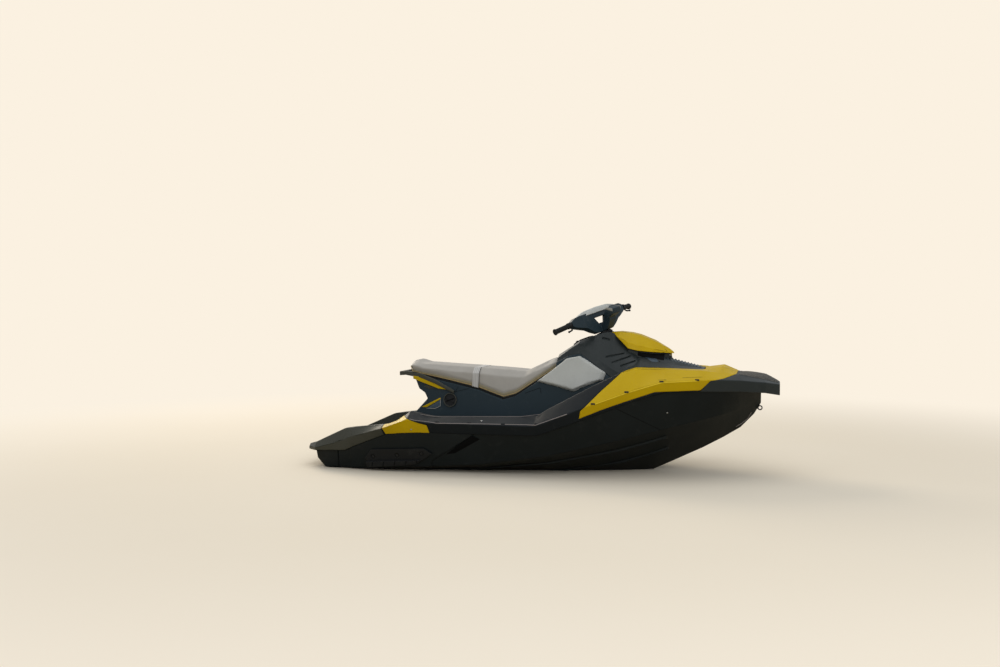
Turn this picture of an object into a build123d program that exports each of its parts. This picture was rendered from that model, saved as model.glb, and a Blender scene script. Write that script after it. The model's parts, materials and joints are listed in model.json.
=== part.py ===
from build123d import *
import math
import os

os.makedirs("parts", exist_ok=True)

# A three-seat personal watercraft. Millimetres, X towards the bow, Y to port, Z up.
# The origin is amidships on the centreline, on the water the craft floats in.

# Walls, gaps and clearances
PANEL = 8.0             # thickness of the moulded colour panels
SEAM = 2.5              # open seam between two panels
LEDGE = 16.0            # the deck overhangs the hull by this much on each side
RUN_GAP = 0.3           # clearance round a pin, and under a loose or soft piece
REACH = 2000.0          # past everything, for cutting blocks

# Deck edge lines: joint with the hull, widest ridge, gunwale rim, inboard crest, centre
# Columns: x, joint_y, joint_z, ridge_y, ridge_z, rim_y, rim_z, crest_y, crest_z, centre_z
DECK_LINES = [
    (-1525, 350, 104, 352, 122, 330, 140, 280, 140, 140),
    (-1430, 468, 112, 478, 132, 452, 168, 400, 168, 168),
    (-1208, 510, 127, 525, 195, 500, 269, 440, 269, 269),
    (-1150, 520, 153, 545, 220, 510, 278, 450, 278, 278),
    (-915, 545, 244, 578, 288, 522, 304, 450, 304, 304),
    (-850, 549, 249.5, 584, 312, 516, 328, 450, 328, 328),
    (-760, 555, 257, 589, 345, 500, 390, 440, 390, 390),
    (-620, 563, 262, 590, 326, 500, 360, 440, 360, 360),
    (60, 565, 262, 590, 324, 500, 376, 440, 376, 376),
    (128, 565, 280, 588, 344, 498, 420, 440, 420, 420),
    (411, 548, 386, 573, 460, 474, 571, 420, 571, 571),
    (562, 528, 444, 556, 516, 448, 641, 400, 650, 650),
    (657, 514, 481, 536, 552, 420, 678, 350, 680, 680),
    (849, 462, 538, 478, 606, 346, 672, 250, 675, 675),
    (1056, 378, 541, 392, 611, 282, 664, 150, 664, 656),
    (1183, 318, 537, 330, 611, 228, 648, 118, 684, 668),
    (1290, 262, 535, 272, 606, 178, 636, 92, 640, 628),
    (1444, 205, 526, 212, 592, 120, 612, 56, 617, 612),
    (1531, 100, 505, 104, 574, 60, 583, 30, 585, 583),
]

# Hull lines. Keel columns: x, z. Chine columns: x, y, z.
KEEL_LINE = [
    (-1430, 30), (-1370, -86), (-1150, -104), (128, -104), (411, -88), (562, -56),
    (712, -12), (849, 52), (1056, 152), (1183, 222), (1290, 288), (1372, 374), (1415, 446),
]
CHINE_LINE = [
    (-1430, 432, 62), (-1370, 445, 4), (-1150, 468, 12), (-915, 478, 20), (-300, 490, 62),
    (128, 488, 128), (562, 440, 232), (849, 368, 308), (1056, 268, 356), (1183, 196, 386),
    (1290, 122, 414), (1372, 62, 446), (1415, 34, 474),
]
HULL_STATIONS = [
    -1430, -1370, -1208, -1150, -915, -760, -620, -300, 60, 128, 411, 562, 657, 712, 849,
    1056, 1183, 1290, 1372, 1415,
]
HULL_NOSE_Y = 90.0      # half breadth of the hull's top at its foremost station

# Thicker rear sides of the hull, with a slanting front edge, and spray strakes below
SIDE_PAD = 10.0
SIDE_PAD_EDGE = [(-1168, 300), (-1180, -40), (-620, -40), (-620, 75), (-340, 250), (-300, 300)]
TAIL_SEAM = [(-1276, -120), (-1272, -120), (-1263, 160), (-1267, 160)]
STRAKE_STATIONS = [-1150, -300, 128, 562, 849]
STRAKE_W = 30.0
# Columns: share of the way from keel to chine
STRAKE_PLACES = [0.40, 0.72]

# Recess for feet and boarding platform. Columns: x, half width, floor z
FLOOR_LINE = [
    (-1560, 290, 118), (-1430, 400, 138), (-1208, 455, 205), (-915, 472, 262),
    (-800, 455, 275), (60, 455, 275), (128, 452, 290), (411, 428, 440), (562, 402, 590),
    (610, 392, 700),
]
MAT = 6.0               # foam mats on the floors
FOOT_MAT_X = (-780.0, 60.0)
PLATFORM_MAT_X = (-1410.0, -930.0)
MAT_MARGIN = 16.0

# Edges of the deck's separate mouldings, as (x, z) points of the side view
BUMPER_EDGE = [(1043, 400), (1043, 532), (1118, 606), (1195, 618), (1272, 642), (1296, 720)]
BOW_PANEL_EDGE = [
    (339, 374), (350, 424), (378, 448), (460, 536), (576, 647), (590, 760),
]
BOW_PANEL_LOW = [(1064, 549), (791, 541), (608, 479), (476, 431)]
ACCENT_EDGE = [
    (-898, 200), (-945, 330), (-945, 345), (-800, 362), (-680, 323), (-627, 312), (-600, 200),
]
TAIL_EDGE = [(-898, 90), (-945, 340)]

# Centre tower under the seat. Columns: x, half width at the floor, at mid height, at the top
TOWER_LINE = [
    (-900, 172, 160, 120), (-600, 214, 190, 140), (-200, 240, 212, 150), (100, 262, 242, 150),
    (300, 285, 264, 150), (562, 318, 288, 130), (800, 330, 260, 110),
]
TOWER_BASE_Z = 266.0
TOWER_MID_Z = 540.0
TOWER_TOP_Z = 920.0
TOWER_STERN = [(-872, TOWER_BASE_Z), (-840, 347), (-748, 444), (-769, 483), (-811, 510), (-850, 600)]
CONSOLE_SEAM = [(132, 700), (206, 740), (285, 755), (455, 640), (545, 573)]
TOWER_FOOT = [(411, 430), (128, 280), (60, TOWER_BASE_Z)]

# Steering console. Columns: x, seam y, seam z, crease y, crease z, top y, top z
CONSOLE_LINE = [
    (120, 206, 660, 170, 716, 110, 738),
    (206, 200, 700, 160, 780, 108, 794),
    (268, 200, 740, 150, 822, 106, 835),
    (369, 226, 690, 188, 747, 100, 873),
    (409, 240, 664, 205, 720, 92, 884),
    (454, 250, 634, 226, 690, 92, 893),
    (488, 258, 610, 240, 667, 104, 886),
    (545, 276, 560, 262, 640, 122, 833),
    (600, 284, 560, 274, 660, 150, 780),
    (672, 288, 560, 282, 676, 176, 716),
    (706, 288, 560, 284, 680, 190, 698),
]

# Gill grooves in the console's flanks and the slot below its neck, as (x, z) points
GILLS = [
    [(452, 730), (566, 757), (566, 765), (450, 742)],
    [(494, 695), (608, 740), (606, 748), (492, 707)],
    [(550, 675), (642, 712), (640, 720), (548, 686)],
]
CABLE_SLOT = [(414, 848), (462, 838), (466, 850), (416, 861)]
GILL_DEPTH = 7.0

# Seat. Columns: x, base z, base y, shoulder z, shoulder y, top z, top y
SEAT_LINE = [
    (-862, 640, 116, 664, 122, 688, 96),
    (-845, 618, 142, 676, 142, 703, 110),
    (-800, 606, 160, 650, 162, 676, 124),
    (-615, 572, 182, 632, 178, 664, 132),
    (-434, 533, 194, 618, 184, 655, 132),
    (-389, 523, 197, 616, 184, 652, 130),
    (-222, 464, 204, 598, 184, 642, 126),
    (-139, 489, 200, 596, 182, 636, 122),
    (-88, 522, 195, 598, 178, 632, 118),
    (14, 590, 180, 648, 165, 681, 110),
    (95, 645, 162, 694, 150, 722, 100),
    (125, 662, 152, 703, 140, 734, 92),
]
SEAT_PAN = 14.0         # rigid pan under the cushion
PAN_INSET = 12.0
STRAP_X = (-436.0, -392.0)
STRAP_T = 5.0

# Knee pads on the tower's flanks, as (x, z) points of the side view
KNEE_PAD = [(7, 578), (201, 728), (281, 740), (438, 639), (430, 590), (255, 516)]
KNEE_PAD_AT = (225.0, 238.0, 632.0)
KNEE_PAD_TURN = (13.5, 0, 6.6)   # lays the pad on the flank
KNEE_PAD_T = 26.0
KNEE_PAD_DEPTH = (-40.0, 60.0)   # of the cutting form, with its outline's share at each end
KNEE_PAD_BEVEL = (1.22, 0.75)

# Grab handle round the stern end of the seat, as (x, z) points of its upper edge
HANDLE_TOP = [(-945, 610), (-902, 612), (-800, 592), (-690, 556), (-556, 504)]
HANDLE_H = 22.0
# Columns: x, outer half width. Then x, inner half width.
HANDLE_PLAN = [(-945, 104), (-900, 132), (-800, 186), (-556, 214)]
HANDLE_INNER = [(-917, 96), (-872, 108), (-800, 158), (-556, 186), (-500, 186)]
WING_INSET = 5.0
WING_EDGE = [(-828, 575), (-800, 570), (-690, 534), (-612, 500), (-668, 492), (-790, 528), (-828, 545)]

# Round access covers on the tower's flanks
COVER_AT = (-584.0, 440.0)
COVER_R = 47.0
COVER_T = 9.0
COVER_RIM = 8.0
TURN_BAR = (58.0, 16.0)          # length, height of the bar that turns a cover
TURN_BAR_TILT = 28.0

# Foredeck hood. Columns: x, edge y, edge z, shoulder y, shoulder z, top y, top z
HOOD_LINE = [
    (600, 306, 656, 190, 704, 120, 722),
    (672, 292, 678, 172, 736, 118, 748),
    (762, 266, 680, 150, 719, 108, 737),
    (876, 226, 674, 132, 690, 96, 708),
    (1029, 158, 665, 104, 668, 80, 672),
    (1062, 138, 662, 92, 663, 70, 664),
]
HOOD_SKIRT = 40.0
RIB_X = (792.0, 1036.0)
RIB_COUNT = 13
RIB_W = 12.0
RIB_H = 3.5
RIB_INSERT = (8.0, 5.0, 1.5)     # the ribbed insert: inset from the hood's flat, depth, rise
RIB_INSERT_X = (778.0, 1046.0)

# Storage bin and its lid. Lid columns: x, edge y, edge z, shoulder y, shoulder z, top y, top z
LID_LINE = [
    (470, 120, 866, 110, 880, 62, 893),
    (520, 156, 846, 150, 866, 84, 897),
    (590, 186, 792, 176, 830, 88, 890),
    (650, 178, 778, 166, 812, 78, 876),
    (743, 140, 768, 128, 790, 58, 840),
    (838, 56, 760, 48, 768, 22, 786),
    (866, 16, 757, 12, 760, 6, 764),
]
LID_WALL = 4.0
LID_SKIRT = 30.0        # the lid's hollow runs this far past its lower edge
LID_SEAT_GAP = 3.0      # between the lid and the console it closes on
LID_HINGE = (842.0, 746.0)
LID_PIN_R = 4.0
LUG_Y = 12.0
LUG_R = 10.0
LUG_H = 18.0
EAR_Y = (14.0, 20.0)
COAMING_INSET = 20.0
BIN_X = (566.0, 722.0)
BIN_TOP = (800.0, 748.0)
BIN_FLOOR = 610.0
BIN_Y = 92.0
BIN_WALL = 4.0
BIN_RIM = 20.0          # flange that carries the bin in its well
BIN_RIM_T = 8.0
DECK_WELL = (520.0, 770.0, 140.0, 565.0)     # x0, x1, half width, floor z

# Steering column. Its parts are laid out with x forward, y along the bar, z up the column
STEER_BASE = (415.0, 0.0, 872.0)
STEER_RAKE = 23.3       # the column leans aft by this much
STEER_AT_REST = -29.5   # the bars are parked turned to starboard
STEM_R = 17.0
STEM_Z = (-40.0, 66.0)
NECK_Z = (-46.0, 20.0)
NECK_R = (50.0, 40.0)
BAR_R = 11.0
GRIP_R = 16.0
GRIP_L = 104.0
FLANGE_R = 20.0
# Port half of the bar
BAR_PATH = [(12, 150, 140), (0, 285, 134), (-36, 405, 128)]
BAR_BEND = 90.0
# Bar cover seen from the seat. Columns: y, z. Then its depth. Columns: y, aft x, fore x
COVER_EDGE = [
    (0, 26), (84, 26), (126, 45), (170, 74), (260, 104), (282, 118), (282, 150), (262, 160),
    (240, 168), (0, 170),
]
COVER_DEPTH = [(0, -10, 26), (112, -10, 26), (190, -18, 32), (282, -20, 16)]
WINDOW = [(66, 127), (-66, 127), (-40, 84), (40, 84)]
# Mast that leans forward from the cover, and the gauge pod on it, as (x, z) points
MAST = [(20, 26), (62, 26), (84, 44), (112, 74), (126, 112), (88, 120), (53, 77), (30, 60), (20, 60)]
MAST_Y = 34.0
POD = [(88, 120), (104, 84), (158, 100), (170, 132), (131, 153)]
POD_Y = 44.0
DISPLAY = (46.0, 74.0, 5.0)      # deep, wide, thick
DISPLAY_AT = (110.5, 137.0)
DISPLAY_TILT = -37.5
# Crash pad on the cover. Columns: y, aft x, fore x, top z
PAD_LINE = [(0, -34, 36, 193), (118, -31, 33, 189), (190, -24, 26, 176), (216, -14, 16, 166)]
PAD_BASE_Z = 153.0
PAD_BEVEL = 10.0
PERCH_R = 20.0
LEVER_R = 5.0
LEVER_BEND = 12.0

# Jet pump on the centreline of the tunnel
PUMP_Z = -12.0
PUMP_R = 80.0
DUCT_R = 70.0
BLADE_GAP = 1.5
SHAFT_R = 12.0
HUB_R = 26.0
BLADES = 3
BLADE_T = 4.0
BLADE_WRAP = 95.0
BLADE_STEPS = 5
VANES = 7
VANE_T = 4.0
IMPELLER_X = (-850.0, -948.0)
STATOR_X = (-962.0, -1045.0)
TUNNEL_Y = 140.0
TUNNEL_ROOF = 92.0
BULKHEAD_X = -820.0
FLANGE = (10.0, 100.0)           # thickness, radius
LIP_X = -720.0          # front edge of the lip behind the water intake
INTAKE_X = -330.0       # where the intake's roof meets the bottom
NOZZLE_X = -1165.0      # steering pivot of the nozzle
VENTURI_R = 46.0
VENTURI_WALL = 5.0
TIP_PAST_PIVOT = 7.0
CONE_TO_PIVOT = 45.0
NOZZLE_RING_R = 60.0
NOZZLE_RING = (12.0, -22.0)      # ahead of the pivot and behind it
NOZZLE_L = 97.0
NOZZLE_R = 46.0
NOZZLE_WALL = 5.0
NOZZLE_AT_REST = 14.0   # linked to the bars, so it is parked turned too
PIVOT_R = 6.0
GATE_BEHIND = 35.0      # the reverse gate's pivot is this far behind the nozzle's
GATE_R = 91.0
GATE_T = 5.0
GATE_Y = 92.0
GATE_WEDGE = [(0, 0), (-135, 200), (200, 200)]     # what of the round visor is kept
GATE_ARM = [(-16, -6), (-46, 68), (0, 93), (64, 64), (16, -6)]
GATE_ARM_T = 6.0
BRACKET_Y = 77.0
BRACKET_T = 7.0
BRACKET_H = 14.0
BRACKET_PAST = (12.0, 40.0)      # behind the gate's pivot, and ahead of the cone
PIN_PROUD = 3.0
HUB_TAIL = (60.0, 6.0)           # length, end radius
VANE_TILT = 12.0
VANE_SHARE = 0.85                # of the stator's length
PLATE_T = 8.0
PLATE_L = 510.0
GRATE_RISE = 0.3        # the grate follows the slope of the bottom to each side
GRATE_H = 14.0
SLATS = (-45.0, -15.0, 15.0, 45.0)
SLAT_T = 8.0
SLAT_INSET = 1.0        # from the grate's faces

# Engine bay and the engine in it: x0, x1, half width, z0, z1
BAY = (-440.0, 60.0, 140.0, -28.0, 400.0)
ENGINE = (-420.0, 40.0, 125.0, -28.0, 330.0)

# Sponsons on the rear sides, as (x, z) points of the side view
SPONSON = [(-1067, 81), (-1019, 140), (-664, 158), (-609, 124), (-700, 62), (-1050, 36)]
SPONSON_T = 14.0
SPONSON_LIP = [(-1062, 58), (-684, 80), (-722, 52), (-1050, 18)]
LIP_T = 34.0
# Columns: x, z of the bolt recesses
SPONSON_BOLTS = [(-1010, 92), (-845, 105), (-680, 122)]
BOLT_RECESS = (15.0, 8.0)        # radius, depth
LIP_RIB_X = (-1030, -955, -880, -805, -735)

# Towing eyes and drain plugs
EYE_R = 9.0
EYE_T = 14.0
EYE_WALL = 11.0
BOW_EYE_WALL = 7.0
BOW_EYE_AT = (1409.5, 416.0)
STERN_EYE_AT = (-1450.0, 300.0, 80.0)
DRAIN_AT = (-1430.0, 200.0, 84.0)


def outline(points):
    """Closed wire through points."""
    return Wire.make_polygon([Vector(*p) for p in points], close=True)


def across(x, half):
    """Closed outline across the craft at x, from the (y, z) points of its port half."""
    port = [(x, y, z) for y, z in half]
    starboard = [(x, -y, z) for y, z in reversed(half) if y > 0]
    return outline(port + starboard)


def skin_through(sections):
    """Straight-sided solid through (x, port half outline) sections."""
    return Solid.make_loft([across(x, half) for x, half in sections], ruled=True)


def on_line(line, x):
    """Values of a table line at x, straight between its rows."""
    for (x0, *a), (x1, *b) in zip(line, line[1:]):
        if x0 <= x <= x1:
            t = (x - x0) / (x1 - x0)
            return [p + t * (q - p) for p, q in zip(a, b)]
    raise ValueError(f"x {x} is off the line")


def side_prism(points, y0, y1):
    """Solid from y0 to y1 with an outline of (x, z) points."""
    face = Face(outline([(x, y0, z) for x, z in points]))
    return Solid.extrude(face, Vector(0, y1 - y0, 0))


def plan_prism(points, z0, z1):
    """Solid from z0 to z1 with an outline of (x, y) points."""
    face = Face(outline([(x, y, z0) for x, y in points]))
    return Solid.extrude(face, Vector(0, 0, z1 - z0))


def end_prism(points, x0, x1):
    """Solid from x0 to x1 with an outline of (y, z) points."""
    face = Face(outline([(x0, y, z) for y, z in points]))
    return Solid.extrude(face, Vector(x1 - x0, 0, 0))


def mirrored_plan(rows):
    """Outline of (x, y) points on both sides from rows of x and half width."""
    return [(x, y) for x, y in rows] + [(x, -y) for x, y in reversed(rows)]


def block(x0, x1, y0, y1, z0, z1):
    return Pos(x0, y0, z0) * Box(x1 - x0, y1 - y0, z1 - z0, align=(Align.MIN,) * 3)


def rod(start, end, radius, end_radius=None):
    """Round bar, or cone, between two points."""
    a, b = Vector(*start), Vector(*end)
    plane = Plane(origin=a, z_dir=b - a)
    if end_radius is None:
        return Solid.make_cylinder(radius, (b - a).length, plane)
    return Solid.make_cone(radius, end_radius, (b - a).length, plane)


def bent_bar(points, radius, bend):
    """Round bar along straight runs, with bends of one radius between them."""
    path = FilletPolyline(*points, radius=bend)
    return sweep(Plane(path @ 0, z_dir=path % 0) * Circle(radius), path=path)


def both_sides(shape):
    """One compound of a port piece and its mirror image."""
    starboard = mirror(shape, about=Plane.XZ)
    return Compound(children=[*shape.solids(), *starboard.solids()])


def side_of(shape, port):
    """The port or starboard half, half a seam short of the centreline."""
    low, high = (SEAM / 2, REACH) if port else (-REACH, -SEAM / 2)
    return shape & block(-REACH, REACH, low, high, -REACH, REACH)


def save(shape, name):
    solids = shape.solids()
    whole = solids[0] if len(solids) == 1 else Compound(children=list(solids))
    export_step(whole, f"parts/{name}.step")


def save_sides(shape, name):
    """One node a side from a shape that spans the centreline."""
    save(side_of(shape, True), f"{name}_port")
    save(side_of(shape, False), f"{name}_starboard")


# Hull


def hull_side_y(x, extra):
    if x == HULL_STATIONS[-1]:
        return HULL_NOSE_Y + extra
    edge = on_line(DECK_LINES, x)[0] - LEDGE
    if x == HULL_STATIONS[-2]:
        edge = 0.5 * (edge + HULL_NOSE_Y)
    return edge + extra


def hull_form(extra=0.0):
    """The hull's form, with its sides moved outwards by extra."""
    sections = []
    for x in HULL_STATIONS:
        (keel_z,) = on_line(KEEL_LINE, x)
        chine_y, chine_z = on_line(CHINE_LINE, x)
        joint_z = on_line(DECK_LINES, x)[1]
        half = [(0, keel_z), (chine_y + extra, chine_z), (hull_side_y(x, extra), joint_z)]
        sections.append((x, half))
    return skin_through(sections)


def bottom_point(x, share):
    """A point of the bottom, a share of the way from keel to chine."""
    (keel_z,) = on_line(KEEL_LINE, x)
    chine_y, chine_z = on_line(CHINE_LINE, x)
    return share * chine_y, keel_z + share * (chine_z - keel_z)


def strake(share):
    """Spray strake with a flat underside along the port bottom."""
    wires = []
    for x in STRAKE_STATIONS:
        y, z = bottom_point(x, share)
        chine_y = on_line(CHINE_LINE, x)[0]
        outer_z = bottom_point(x, (y + STRAKE_W) / chine_y)[1]
        corners = [(y, z + 8), (y, z), (y + STRAKE_W, z + 1), (y + STRAKE_W, outer_z + 8)]
        wires.append(outline([(x, a, b) for a, b in corners]))
    return Solid.make_loft(wires, ruled=True)


hull_whole = hull_form()
pad_zone = side_prism(SIDE_PAD_EDGE, -REACH, REACH)
side_pads = (hull_form(SIDE_PAD) & pad_zone) - block(-REACH, REACH, -300, 300, -REACH, REACH)
hull = hull_whole + side_pads
for share in STRAKE_PLACES:
    rail = strake(share)
    hull = hull + rail + mirror(rail, about=Plane.XZ)
tail_groove = side_prism(TAIL_SEAM, -REACH, REACH) - hull_form(-SEAM)
hull = hull - (tail_groove - block(-REACH, REACH, -300, 300, -REACH, REACH))
hull_outside = hull

tunnel = block(-REACH, BULKHEAD_X, -TUNNEL_Y, TUNNEL_Y, -REACH, TUNNEL_ROOF)
KEEL_Z = KEEL_LINE[2][1]
inlet_floor = PUMP_Z - DUCT_R
intake = side_prism(
    [
        (INTAKE_X, KEEL_Z - 36), (-760, PUMP_Z + DUCT_R), (BULKHEAD_X - 10, PUMP_Z + DUCT_R),
        (BULKHEAD_X - 10, inlet_floor), (LIP_X, inlet_floor + 2), (LIP_X, KEEL_Z - 36),
    ],
    -DUCT_R, DUCT_R)
shaft_bore = rod((BULKHEAD_X, 0, PUMP_Z), (BAY[0] - 1, 0, PUMP_Z), SHAFT_R + 1)
engine_bay = block(BAY[0], BAY[1], -BAY[2], BAY[2], BAY[3], BAY[4])
hull = hull - tunnel - intake - shaft_bore - engine_bay
save(hull, "hull")
save(block(ENGINE[0], ENGINE[1], -ENGINE[2], ENGINE[2], ENGINE[3], ENGINE[4]), "engine_block")

# Deck moulding and the colour panels, fairings and bumper let into it


def deck_form(inset=0.0):
    sections = []
    for x, jy, jz, gy, gz, ry, rz, cy, cz, mz in DECK_LINES:
        half = [
            (jy - inset, jz), (gy - inset, gz), (ry - inset, rz - inset),
            (cy - inset, cz - inset), (0, mz - inset),
        ]
        sections.append((x, half))
    return skin_through(sections)


floor_recess = skin_through([(x, [(y, z), (y, REACH)]) for x, y, z in FLOOR_LINE])
inside_recess = skin_through([(x, [(y, -REACH), (y, REACH)]) for x, y, z in FLOOR_LINE])
deck_open = deck_form() - floor_recess
deck_skin = deck_open - deck_form(PANEL)

bumper_zone = side_prism(BUMPER_EDGE + [(1600, 720), (1600, 400)], -REACH, REACH)
bow_zone = side_prism(BOW_PANEL_EDGE + BUMPER_EDGE[:1:-1] + BOW_PANEL_LOW, -REACH, REACH)
hood_rows = [(500, HOOD_LINE[0][1] + SEAM)] + [(x, y + SEAM) for x, y, *_ in HOOD_LINE]
hood_footprint = plan_prism(mirrored_plan(hood_rows), 500, REACH)
accent_zone = side_prism(ACCENT_EDGE, -REACH, REACH)
tail_zone = side_prism([(-1600, 90)] + TAIL_EDGE + [(-1600, 340)], -REACH, REACH)

bumper = deck_open & bumper_zone
bow_panels = (deck_skin & bow_zone) - bumper_zone - hood_footprint
accents = (deck_skin & accent_zone) - inside_recess
fairings = (deck_open & tail_zone) - inside_recess
save(bumper, "bow_bumper")
save_sides(bow_panels, "bow_panel")
save_sides(accents, "rear_accent")
save_sides(fairings, "tail_fairing")



def mouth_z(x):
    """Height of the bin's slanting mouth at x."""
    return BIN_TOP[0] + (x - BIN_X[0]) / (BIN_X[1] - BIN_X[0]) * (BIN_TOP[1] - BIN_TOP[0])


def bin_prism(margin, low, high=0.0):
    """Block round the bin, from low up to the mouth, and by high above it."""
    x0, x1 = BIN_X[0] - margin, BIN_X[1] + margin
    edge = [(x0, low), (x0, mouth_z(x0) + high), (x1, mouth_z(x1) + high), (x1, low)]
    return side_prism(edge, -BIN_Y - margin, BIN_Y + margin)


bin_well = bin_prism(BIN_RIM, BIN_FLOOR - BIN_RIM, REACH)
bin_rim = bin_prism(BIN_RIM, BIN_FLOOR) & side_prism(
    [(x, mouth_z(x) - drop) for x, drop in ((0, 0), (REACH, 0), (REACH, BIN_RIM_T), (0, BIN_RIM_T))],
    -REACH, REACH)
bin_hollow = bin_prism(-BIN_WALL, BIN_FLOOR + BIN_WALL, REACH)
save((bin_prism(0, BIN_FLOOR) + bin_rim) - bin_hollow, "storage_bin")
well_x0, well_x1, well_y, well_z = DECK_WELL
deck_well = block(well_x0, well_x1, -well_y, well_y, well_z, REACH)
save(deck_open - bumper - bow_panels - accents - fairings - engine_bay - deck_well, "deck")


def foot_mat():
    y0 = on_line(TOWER_LINE, FOOT_MAT_X[1])[0] + 4
    y1 = on_line(FLOOR_LINE, FOOT_MAT_X[0])[0] - MAT_MARGIN
    floor_z = on_line(FLOOR_LINE, FOOT_MAT_X[1])[1]
    return block(FOOT_MAT_X[0], FOOT_MAT_X[1], y0, y1, floor_z, floor_z + MAT)


def platform_mat():
    stations = [PLATFORM_MAT_X[0]]
    stations += [x for x, *_ in FLOOR_LINE if PLATFORM_MAT_X[0] < x < PLATFORM_MAT_X[1]]
    stations += [PLATFORM_MAT_X[1]]
    rows = [(x, *on_line(FLOOR_LINE, x)) for x in stations]
    return skin_through([(x, [(y - 2 * MAT_MARGIN, z), (y - 2 * MAT_MARGIN, z + MAT)]) for x, y, z in rows])


save(both_sides(foot_mat()), "footwell_mats")
save(platform_mat(), "platform_mat")

# Centre tower and steering console


def tower_form(extra=0.0):
    return skin_through([
        (x, [(a + extra, TOWER_BASE_Z), (b + extra, TOWER_MID_Z), (c + extra, TOWER_TOP_Z)])
        for x, a, b, c in TOWER_LINE
    ])


tower_whole = tower_form()
pan_underside = [(x, z - SEAT_PAN) for x, z, *_ in SEAT_LINE[1:]]
tower_edge = TOWER_STERN + pan_underside + CONSOLE_SEAM + TOWER_FOOT
tower_profile = side_prism(tower_edge, -REACH, REACH)
tower = (tower_whole & tower_profile) - deck_open - engine_bay - bin_well
save(tower, "centre_tower")


def console_form(inset=0.0):
    return skin_through([
        (x, [(sy - inset, sz), (cy - inset, cz), (ty - inset, tz - inset)])
        for x, sy, sz, cy, cz, ty, tz in CONSOLE_LINE
    ])


console_zone = side_prism(
    [(132, REACH)] + CONSOLE_SEAM + [(740, 540), (740, REACH)], -REACH, REACH)
console = (console_form() & console_zone) - deck_open - bin_well
for edge in GILLS + [CABLE_SLOT]:
    console = console - (side_prism(edge, -REACH, REACH) - console_form(GILL_DEPTH))

# Foredeck hood with its ribbed insert, lid hinge and lid
hood = skin_through([
    (x, [(ey, ez - HOOD_SKIRT), (ey, ez), (sy, sz), (ty, tz)])
    for x, ey, ez, sy, sz, ty, tz in HOOD_LINE
])
coaming = skin_through([
    (x, [(ey - COAMING_INSET, BIN_FLOOR + 60), (ey - COAMING_INSET, ez - 4)])
    for x, ey, ez, *_ in LID_LINE[2:6]
])
hx, hz = LID_HINGE
pocket = block(hx - 16, hx + 16, -EAR_Y[0], EAR_Y[0], hz - 14, hz + 30)
ear_edge = [(-22, -60), (-7, 2), (-4, 7), (4, 7), (7, 2), (22, -60)]
ear = side_prism([(hx + x, hz + z) for x, z in ear_edge], *EAR_Y)
pin_bore = rod((hx, -REACH, hz), (hx, REACH, hz), LID_PIN_R)
hood = hood + (coaming - pocket) + ear + mirror(ear, about=Plane.XZ)
hood = hood - pin_bore - deck_open - console - tower_profile - bin_well
save(rod((hx, -EAR_Y[1] - 2, hz), (hx, EAR_Y[1] + 2, hz), LID_PIN_R), "lid_hinge_pin")


def hood_ribs():
    """Thin insert on the hood with low ribs across it."""
    inset, depth, rise = RIB_INSERT
    stations = [RIB_INSERT_X[0], HOOD_LINE[3][0], HOOD_LINE[4][0], RIB_INSERT_X[1]]
    tops = [(x, *on_line(HOOD_LINE, x)[4:]) for x in stations]
    insert = skin_through([(x, [(y - inset, z - depth), (y - inset, z + rise)]) for x, y, z in tops])
    step = (RIB_X[1] - RIB_X[0]) / (RIB_COUNT - 1)
    for i in range(RIB_COUNT):
        x = RIB_X[0] + i * step
        y, z = on_line(HOOD_LINE, x)[4:]
        reach, half = y - 2 * inset, RIB_W / 2
        edge = [(x - half, z), (x - half / 2, z + RIB_H), (x + half, z)]
        insert = insert + side_prism(edge, -reach, reach)
    return insert


ribs = hood_ribs()
save(hood - ribs, "hood")
save(ribs, "hood_ribs")


def lid_form(extra=0.0, drop=0.0):
    return skin_through([
        (x, [(ey + extra, ez - drop), (sy + extra, sz + extra), (ty + extra, tz + extra)])
        for x, ey, ez, sy, sz, ty, tz in LID_LINE
    ])


console_top = [(row[0], row[-1]) for row in CONSOLE_LINE[5:10]]
lid_seam = side_prism([(0, 0), (console_top[0][0], REACH)] + console_top, -REACH, REACH)
lid_seam = Pos(LID_SEAT_GAP, 0, 0) * lid_seam
hollow_zone = block(LID_LINE[0][0] + LID_WALL, LID_LINE[-2][0], -REACH, REACH, 0, REACH)
lid_inside = lid_form(-LID_WALL, LID_SKIRT) & hollow_zone
lug = rod((hx, -LUG_Y, hz), (hx, LUG_Y, hz), LUG_R)
lug = lug + block(hx - LUG_R, hx + LUG_R, -LUG_Y, LUG_Y, hz, hz + LUG_H)
lug = lug & lid_form(0, LID_SKIRT)
lug = lug - rod((hx, -LUG_Y, hz), (hx, LUG_Y, hz), LID_PIN_R + RUN_GAP)
save((lid_form() - lid_inside) + lug - lid_seam, "storage_lid")

# Seat, its band and its rigid pan


def seat_form(inset=0.0):
    return skin_through([
        (x, [(by - inset, bz), (sy - inset, sz), (ty - inset, tz - inset)])
        for x, bz, by, sz, sy, tz, ty in SEAT_LINE
    ])


seat_whole = seat_form()
band_zone = block(*STRAP_X, -REACH, REACH, 0, REACH)
strap = (seat_whole & band_zone) - seat_form(STRAP_T)
seat_pan = skin_through([
    (x, [(by - PAN_INSET, bz - SEAT_PAN), (by - PAN_INSET, bz)]) for x, bz, by, *_ in SEAT_LINE[1:]
])
save(seat_whole - strap, "seat_cushion")
save(strap, "seat_strap")
save(seat_pan, "seat_pan")

# Knee pads


def bevelled_prism(points, y0, y1, shares):
    """Solid that tapers from y0 to y1, its (x, z) outline scaled by a share at each end."""
    wires = [outline([(x * s, y, z * s) for x, z in points]) for y, s in zip((y0, y1), shares)]
    return Solid.make_loft(wires, ruled=True)


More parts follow.
